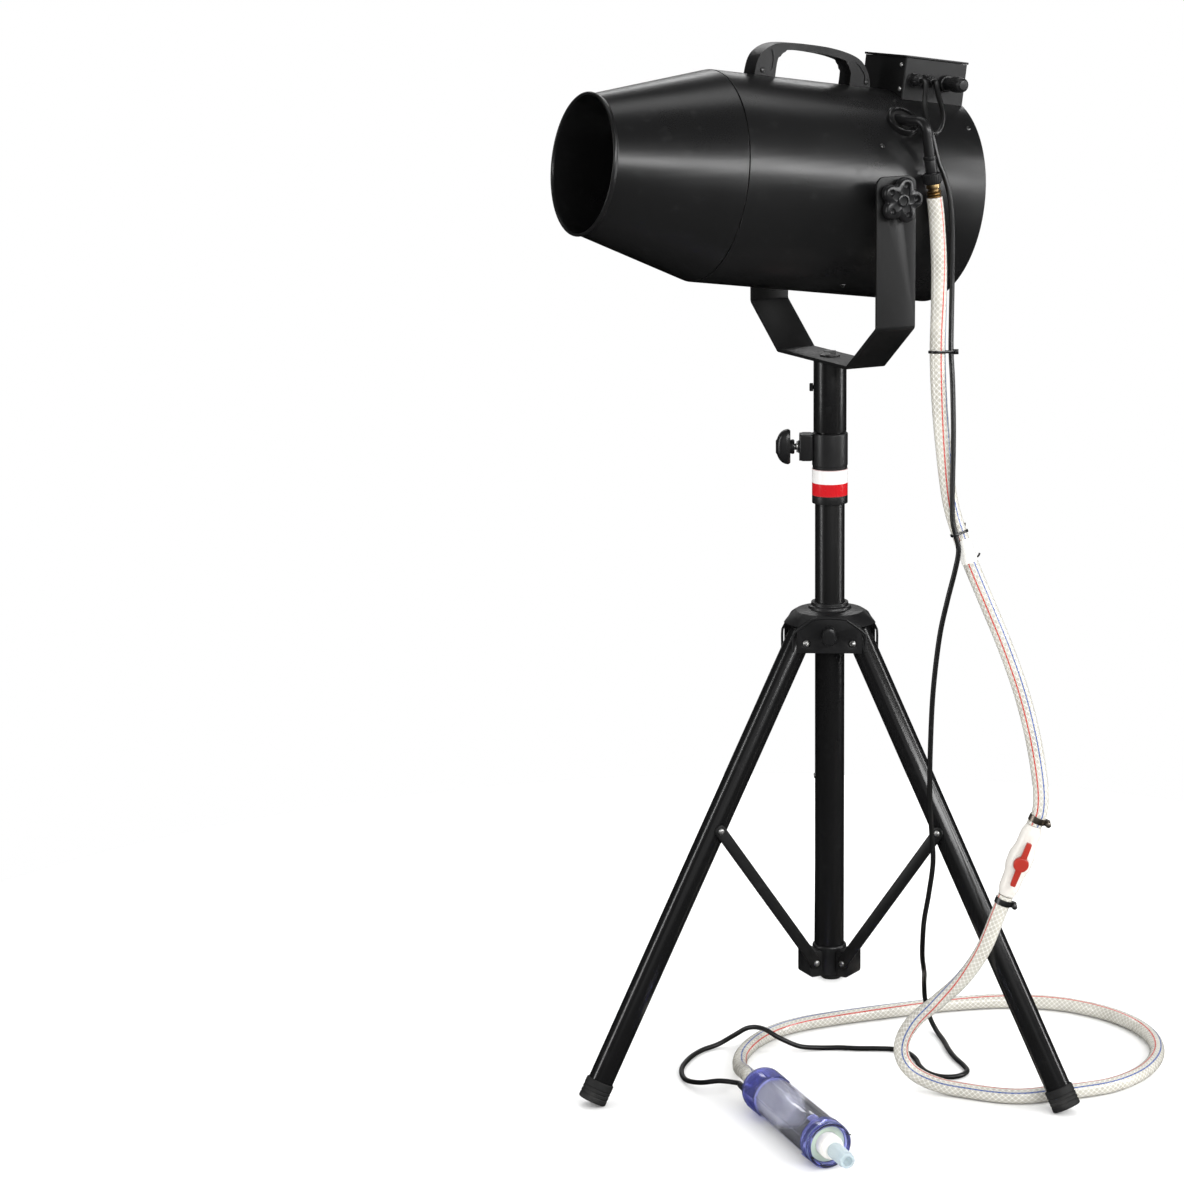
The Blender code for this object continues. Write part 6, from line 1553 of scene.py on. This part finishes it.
def worm_clamp(name, place, axis, radius, toward, width, look):
    """A steel hose clamp: a slotted band, its screw housing and its screw."""
    toward = (toward - axis * toward.dot(axis)).normalized()
    at = axes(toward, axis.cross(toward), axis, place)
    bm = pipe(radius + 0.0009, radius + 0.0001, -width / 2, width / 2, 72, at, ease=0.0002)
    outline = arc((0, 0), radius + 0.0016, -34, 34, 16) + arc((0, 0), radius + 0.0006, 34, -34, 16)
    slab(outline, -width / 2 + 0.0004, width / 2 - 0.0004, at, bm)
    block((0.0052, 0.0085, width - 0.0008), (radius + 0.0036, 0, 0), at, bm, 0.0016)
    screw = at @ along((0, 1, 0), (radius + 0.0042, 0, 0))
    turned([(0, -0.0070), (0.0022, -0.0070), (0.0022, 0.0060), (0, 0.0060)], 28, screw, bm, 0.0003)
    corners = hexagon(0.0034)
    crowned(corners, [(0.0004, 0.0052), (0, 0.0058), (0, 0.0088), (0.0006, 0.0092)], screw, bm, 60)
    piece(name, bm, look, "stand")


LEVER_FACING = Vector((-0.49, -0.87, 0))


def build_valve():
    axis = VALVE_END - VALVE_TOP
    length = axis.length - 2 * GAP
    axis.normalize()
    facing = (LEVER_FACING - axis * LEVER_FACING.dot(axis)).normalized()
    at = along(axis, VALVE_TOP + axis * GAP)
    half = length / 2
    lower = [(0, 0), (0.0086, 0), (0.0098, 0.0026), (0.0098, 0.0040), (0.0106, 0.0056), (0.0118, 0.0100),
             (0.0120, half - 0.0190), (0.0130, half - 0.0140), (0.0148, half - 0.0080)]
    profile = lower + [(0.0150, half)] + [(r, length - z) for r, z in lower[::-1]]
    middle = VALVE_TOP + axis * (GAP + half)
    out = along(facing, middle)
    bm = turned(profile, 96, at, ease=0.0012)
    stem_hole = drill(0.0052, 0.004, 0.03, 40, out)
    piece("valve_shell", bm, "milky", "stand", "valve_body", cuts=stem_hole)
    seat = pipe(0.0100, 0.0053, 0.0128, 0.0159, 56, out)
    piece("valve_seat", seat, "milky", "stand")
    flat = axes(axis, facing.cross(axis), facing, middle)
    bm = turned([(0, 0.0043), (0.005, 0.0043), (0.005, 0.018), (0, 0.018)], 40, flat)
    turned([(0, 0.0163), (0.0084, 0.0163), (0.0088, 0.0175), (0.0088, 0.0215), (0.0078, 0.0228),
            (0.0040, 0.0232), (0, 0.0230)], 64, flat, bm)
    reach = 0.027
    bar = [(-reach, 0.0030), (-reach, -0.0030), (-0.006, -0.0036), (0.006, -0.0036), (reach, -0.0030),
           (reach, 0.0030), (0.006, 0.0036), (-0.006, 0.0036)]
    slab(eased(bar, 0.0012, 3), 0.0170, 0.0222, flat, bm)
    piece("valve_red_lever", bm, "red", "valve", "valve_lever", edge=0.0009)
    way = (HANG_ROUTE[-1] - HANG_ROUTE[-6]).normalized()
    worm_clamp("clamp_above_valve", HANG_ROUTE[-4], way, HOSE_D / 2, RIGHTWARDS, 0.0075, "old_steel")
    way = (FLOOR_ROUTE[6] - FLOOR_ROUTE[0]).normalized()
    worm_clamp("clamp_below_valve", FLOOR_ROUTE[3], way, HOSE_D / 2, RIGHTWARDS, 0.0070, "dark_zinc")


def stadium(reach, grow):
    """The outline that wraps the hose and the cable beside it, grown outwards."""
    hose, cable = HOSE_D / 2 + grow, CABLE_D / 2 + grow
    lean = math.degrees(math.asin((hose - cable) / reach))
    return (arc((-reach / 2, 0), hose, 90 - lean, 270 + lean, 40)
            + arc((reach / 2, 0), cable, -90 + lean, 90 - lean, 20))


def crossing(route, place, normal):
    """Where a route first crosses a plane, and its direction there."""
    for a, b in zip(route, route[1:]):
        before, after = (a - place).dot(normal), (b - place).dot(normal)
        if before * after <= 0 and before != after:
            return a + (b - a) * (before / (before - after)), (b - a).normalized()


def build_ties():
    for name, node, height, body, end in (("tie_upper", "cable_tie_upper", TIES[0], "yoke", "cable"),
                                          ("tie_lower", "cable_tie_lower", TIES[1], "mast", "hose")):
        here, up = crossing(HANG_ROUTE, Vector((0, 0, height)), Vector((0, 0, 1)))
        beside, _ = crossing(CABLE_ROUTE, here, up)
        across = (beside - here).normalized()
        at = axes(across, up.cross(across), up, (here + beside) / 2 - up * 0.0015)
        reach = (beside - here).length
        bm = ring_band(stadium(reach, 0.0016), stadium(reach, 0.0004), 0.003, at)
        tip = reach / 2 + CABLE_D / 2 + 0.001
        facing = (at.to_3x3().inverted() @ FACING).y
        if end == "cable":
            block((0.0058, 0.0050, 0.0058), (tip + 0.0016, 0, 0.0015), at, bm, 0.0012)
            spot = (tip + 0.0016, math.copysign(0.004, facing), 0.0015)
            block((0.0016, 0.0100, 0.0024), spot, at, bm, 0.0005)
        else:
            edge = -reach / 2 - HOSE_D / 2 - 0.001
            spot = Vector((edge - 0.001, math.copysign(0.002, facing), 0.0015))
            block((0.0054, 0.0050, 0.0056), spot, at, bm, 0.0012)
            outwards = FACING * 0.003 - across * 0.0045
            tail = [at @ spot + outwards * k / 6 + Vector((0, 0, 0.0095)) * (k / 6) ** 2 for k in range(7)]
            swept(tail, 0.0011, 12, None, bm)
        piece(name, bm, "knob", body, node, edge=0.0002)
    low = where(HANG_ROUTE, TIES[1] - 0.006)
    high = where(HANG_ROUTE, TIES[1] - 0.034)
    route = HANG_ROUTE[low:high]
    wide = lambda k: HOSE_D / 2 + 0.00035 + 0.00025 * math.sin(k * 1.7) ** 2
    bm = flat_ended(rings_along(route, wide, FACING, sides=48), route)
    piece("white_wrap", bm, "white", "mast", crease=60)
    way = (HANG_ROUTE[high] - HANG_ROUTE[high - 3]).normalized()
    side = (RIGHTWARDS - way * RIGHTWARDS.dot(way)).normalized()
    spot = HANG_ROUTE[high - 2] + side * (HOSE_D / 2 + 0.0005)
    tail = [spot - side * 0.002, spot + side * 0.002 - way * 0.001, spot + side * 0.0045 - way * 0.0035]
    piece("wrap_tail", swept(smooth_route(tail, 0.0008), 0.0011, 14), "knob", "mast")


def build_pump():
    r = PUMP_R
    cap, ring, length = 0.040, 0.022, PUMP_LENGTH
    tube = pipe(r - 0.002, r - 0.004, cap + GAP, length - ring - GAP, 96, LENGTHWAYS)
    piece("pump_clear_body", tube, "clear", "stand", "pump_housing", PUMP)
    ribs = bmesh.new()
    for k in range(6):
        at = spun(60 * k + 15, "X")
        block((length - ring - cap - 0.012, 0.0014, 0.0014), ((cap + length - ring) / 2, 0, r - 0.0016),
              at, ribs, 0.0004)
    piece("pump_body_ribs", ribs, "clear", "stand", at=PUMP)
    nut = 0.0105
    profile = [
        (0.0060, -0.002), (nut - 0.0008, -0.0010), (nut, 0.0005), (r - 0.0058, 0.0022), (r - 0.0015, 0.0050),
        (r - 0.0005, 0.0085), (r - 0.0005, cap), (r - 0.0024, cap), (r - 0.0024, 0.0100), (r - 0.0040, 0.0068),
        (0.0060, 0.0040),
    ]
    bm = turned(profile, 96, LENGTHWAYS, ease=0.0008)
    for turn in (0, 100, 260):
        at = spun(turn, "X")
        block((0.024, 0.015, 0.0012), (cap - 0.008, 0, r - 0.0001), at, bm, 0.003)
        block((0.0030, 0.010, 0.0016), (cap + 0.0020, 0, r - 0.0004), at, bm, 0.0008)
    sleeve = along((-1, 0, 0), (0.006, -0.020, 0))
    piece("pump_blue_cap", bm, "blue", "stand", "pump_rear_cap", PUMP)
    grooves = [(0, 0.001), (0.00425, 0.001)]
    for k in range(6):
        z = 0.0035 + 0.0025 * k
        grooves += [(0.00425 - 0.0001 * k, z), (0.0036, z + 0.0005), (0.0036, z + 0.0011),
                    (0.00420 - 0.0001 * k, z + 0.0016)]
    grooves += [(0.0034, 0.0200), (0, 0.0200)]
    piece("pump_cable_sleeve", turned(grooves, 40, sleeve, ease=0.0002), "knob", "stand", at=PUMP)
    hose = [(0, -0.0118), (nut - 0.0022, -0.0118), (nut - 0.0022, 0.0030), (0, 0.0030)]
    bm = turned(hose, 64, LENGTHWAYS)
    piece("pump_hose_stub", bm, "pale", "stand", at=PUMP)
    up_aside = Vector((PUMP_AHEAD.y * 0.6, PUMP_AHEAD.x * -0.6, 0.8))
    worm_clamp("clamp_at_pump", PUMP_REAR - PUMP_AHEAD * 0.0062, PUMP_AHEAD, 0.0090, up_aside, 0.0085, "zinc")

    profile = [
        (0.0145, length - ring), (r - 0.0024, length - ring), (r - 0.0008, length - ring),
        (r, length - ring + 0.0016), (r, length - 0.0016), (r - 0.0010, length), (r - 0.0045, length),
        (r - 0.0050, length - 0.0015),
        (r - 0.0050, length - 0.0075), (0.0145, length - 0.0075),
    ]
    bm = turned(profile, 96, LENGTHWAYS, ease=0.0006)
    for k in range(3):
        at = spun(120 * k + 20, "X")
        block((0.014, 0.010, 0.0014), (length - ring - 0.003, 0, r - 0.0004), at, bm, 0.002)
    piece("pump_blue_ring", bm, "blue", "stand", "pump_front_ring", PUMP)
    disc = turned([(0.0142, length - 0.0105), (r - 0.0056, length - 0.0105), (r - 0.0056, length - 0.0065),
                   (0.0142, length - 0.0058)], 72, LENGTHWAYS)
    piece("pump_strainer", disc, "green_grey", "stand", at=PUMP)
    wires = bmesh.new()
    for start, stop in ((25, 150), (205, 320)):
        bend = arc((0, 0), r - 0.0022, start, stop, (stop - start) // 5)
        run = [Vector((length + 0.0006, y, z)) for y, z in bend]
        run.insert(0, run[0] + Vector((0.0060, 0.0006, 0.0016)))
        swept(run, 0.0007, 12, None, wires)
    piece("pump_wire_clips", wires, "knob", "stand", at=PUMP)

    neck = length - 0.008 + GAP
    thread = [(0, length - ring - 0.004), (0.008, length - ring - 0.004), (0.008, neck), (0.0135, neck)]
    z = neck + 0.0010
    while z < length + 0.0070:
        thread += [(0.0140, z), (0.0140, z + 0.0009), (0.0129, z + 0.0013), (0.0129, z + 0.0019)]
        z += 0.0024
    thread += [(0.0132, length + 0.0100), (0.0110, length + 0.0140), (0, length + 0.0140)]
    piece("pump_white_neck", turned(thread, 80, LENGTHWAYS, ease=0.0002), "white", "stand", "pump_spout", PUMP)
    spout = [(0, length + 0.0120), (0.0088, length + 0.0120)]
    z = length + 0.0150
    while z < length + 0.0440:
        spout += [(0.0088, z), (0.0095, z + 0.0005), (0.0095, z + 0.0012), (0.0088, z + 0.0017)]
        z += 0.0030
    end = length + 0.050
    spout += [(0.0086, end - 0.0006), (0.0080, end), (0.0058, end), (0.0052, end - 0.0020),
              (0.0052, end - 0.014), (0, end - 0.014)]
    piece("pump_thread_spout", turned(spout, 80, LENGTHWAYS, ease=0.0002), "pale", "stand", at=PUMP)

    motor_r, motor_end = r - 0.008, 0.125
    bore = 0.0022
    profile = [(0, cap + GAP), (motor_r, cap + GAP), (motor_r, motor_end), (bore, motor_end),
               (bore, motor_end - 0.02), (0, motor_end - 0.02)]
    piece("pump_motor_case", turned(profile, 72, LENGTHWAYS), "can", "stand", "pump_motor", PUMP)
    shroud = pipe(0.0205, 0.0192, motor_end + 0.0012, length - ring - 0.001, 72, LENGTHWAYS)
    piece("pump_wheel_shroud", shroud, "can", "stand", at=PUMP)
    profile = [(0, motor_end - 0.018), (0.002, motor_end - 0.018), (0.002, motor_end + 0.004),
               (0.018, motor_end + 0.004), (0.018, motor_end + 0.007), (0.006, motor_end + 0.009),
               (0.006, motor_end + 0.018), (0, motor_end + 0.018)]
    bm = turned(profile, 56, LENGTHWAYS, ease=0.0003)
    for k in range(6):
        around = spun(60 * k, "X")
        block((0.008, 0.0012, 0.0125), (motor_end + 0.010, 0, 0.0110), around, bm, 0.0003)
    piece("pump_wheel", bm, "white", "pump_rotor", "pump_impeller", PUMP)


build_valve()
build_ties()
build_pump()


# ---------------------------------------------------------------- the lines in order, each with its length summed


in_order = ["hanging_hose", "pump_cable", "floor_hose", "fan_lead"]
LINES.sort(key=lambda line: next(k for k, name in enumerate(in_order) if line[0].name.startswith(name)))
for made, run, diameter, lay, far_end, pieces_on in LINES:
    sum((q - p).length for p, q in zip(run, run[1:]))


# ---------------------------------------------------------------- floor and light


def build_studio():
    """A round white floor in white surroundings, with softboxes that alone show in the black paint."""
    floor = plain_object("studio_floor", drill(1.35, -0.02, -0.0002, 96))
    floor.data.materials.append(studio_floor("pale_floor", (0.96, 0.96, 0.955)))
    floor.visible_glossy = False
    world = bpy.data.worlds.new("studio")
    bpy.context.scene.world = world
    world.use_nodes = True
    glow = world.node_tree.nodes["Background"]
    glow.inputs["Color"].default_value = (1, 1, 1, 1)
    glow.inputs["Strength"].default_value = 1.0
    world.cycles_visibility.glossy = False
    lights = (
        ("front_strip", RIGHTWARDS * 2.1 + FACING * 2.4, 1.95, 3.8, 0.45, 88),
        ("front_fill", FACING * 4.6, 2.0, 5.0, 3.2, 20),
        ("left_softbox", FACING * 0.9 - RIGHTWARDS * 2.8, 1.3, 0.32, 2.4, 30),
        ("right_softbox", FACING * 0.2 + RIGHTWARDS * 2.8, 1.3, 0.32, 2.4, 30),
        ("top_softbox", FACING * -0.6, 3.3, 2.6, 0.8, 12),
        ("back_strip", FACING * -3.2, 2.6, 3.0, 0.4, 18),
        ("back_fill", FACING * -4.6, 1.6, 5.0, 3.2, 14),
    )
    aim = Vector((0, 0, 0.8))
    for name, place, up, wide, high, power in lights:
        lamp = bpy.data.lights.new(name, "AREA")
        lamp.shape, lamp.size, lamp.size_y, lamp.energy = "RECTANGLE", wide, high, power
        made = bpy.data.objects.new(name, lamp)
        made.location = place.x, place.y, up
        made.rotation_euler = (aim - made.location).to_track_quat("-Z", "Y").to_euler()
        bpy.context.scene.collection.objects.link(made)
    bpy.context.scene.view_settings.view_transform = "Standard"


build_studio()
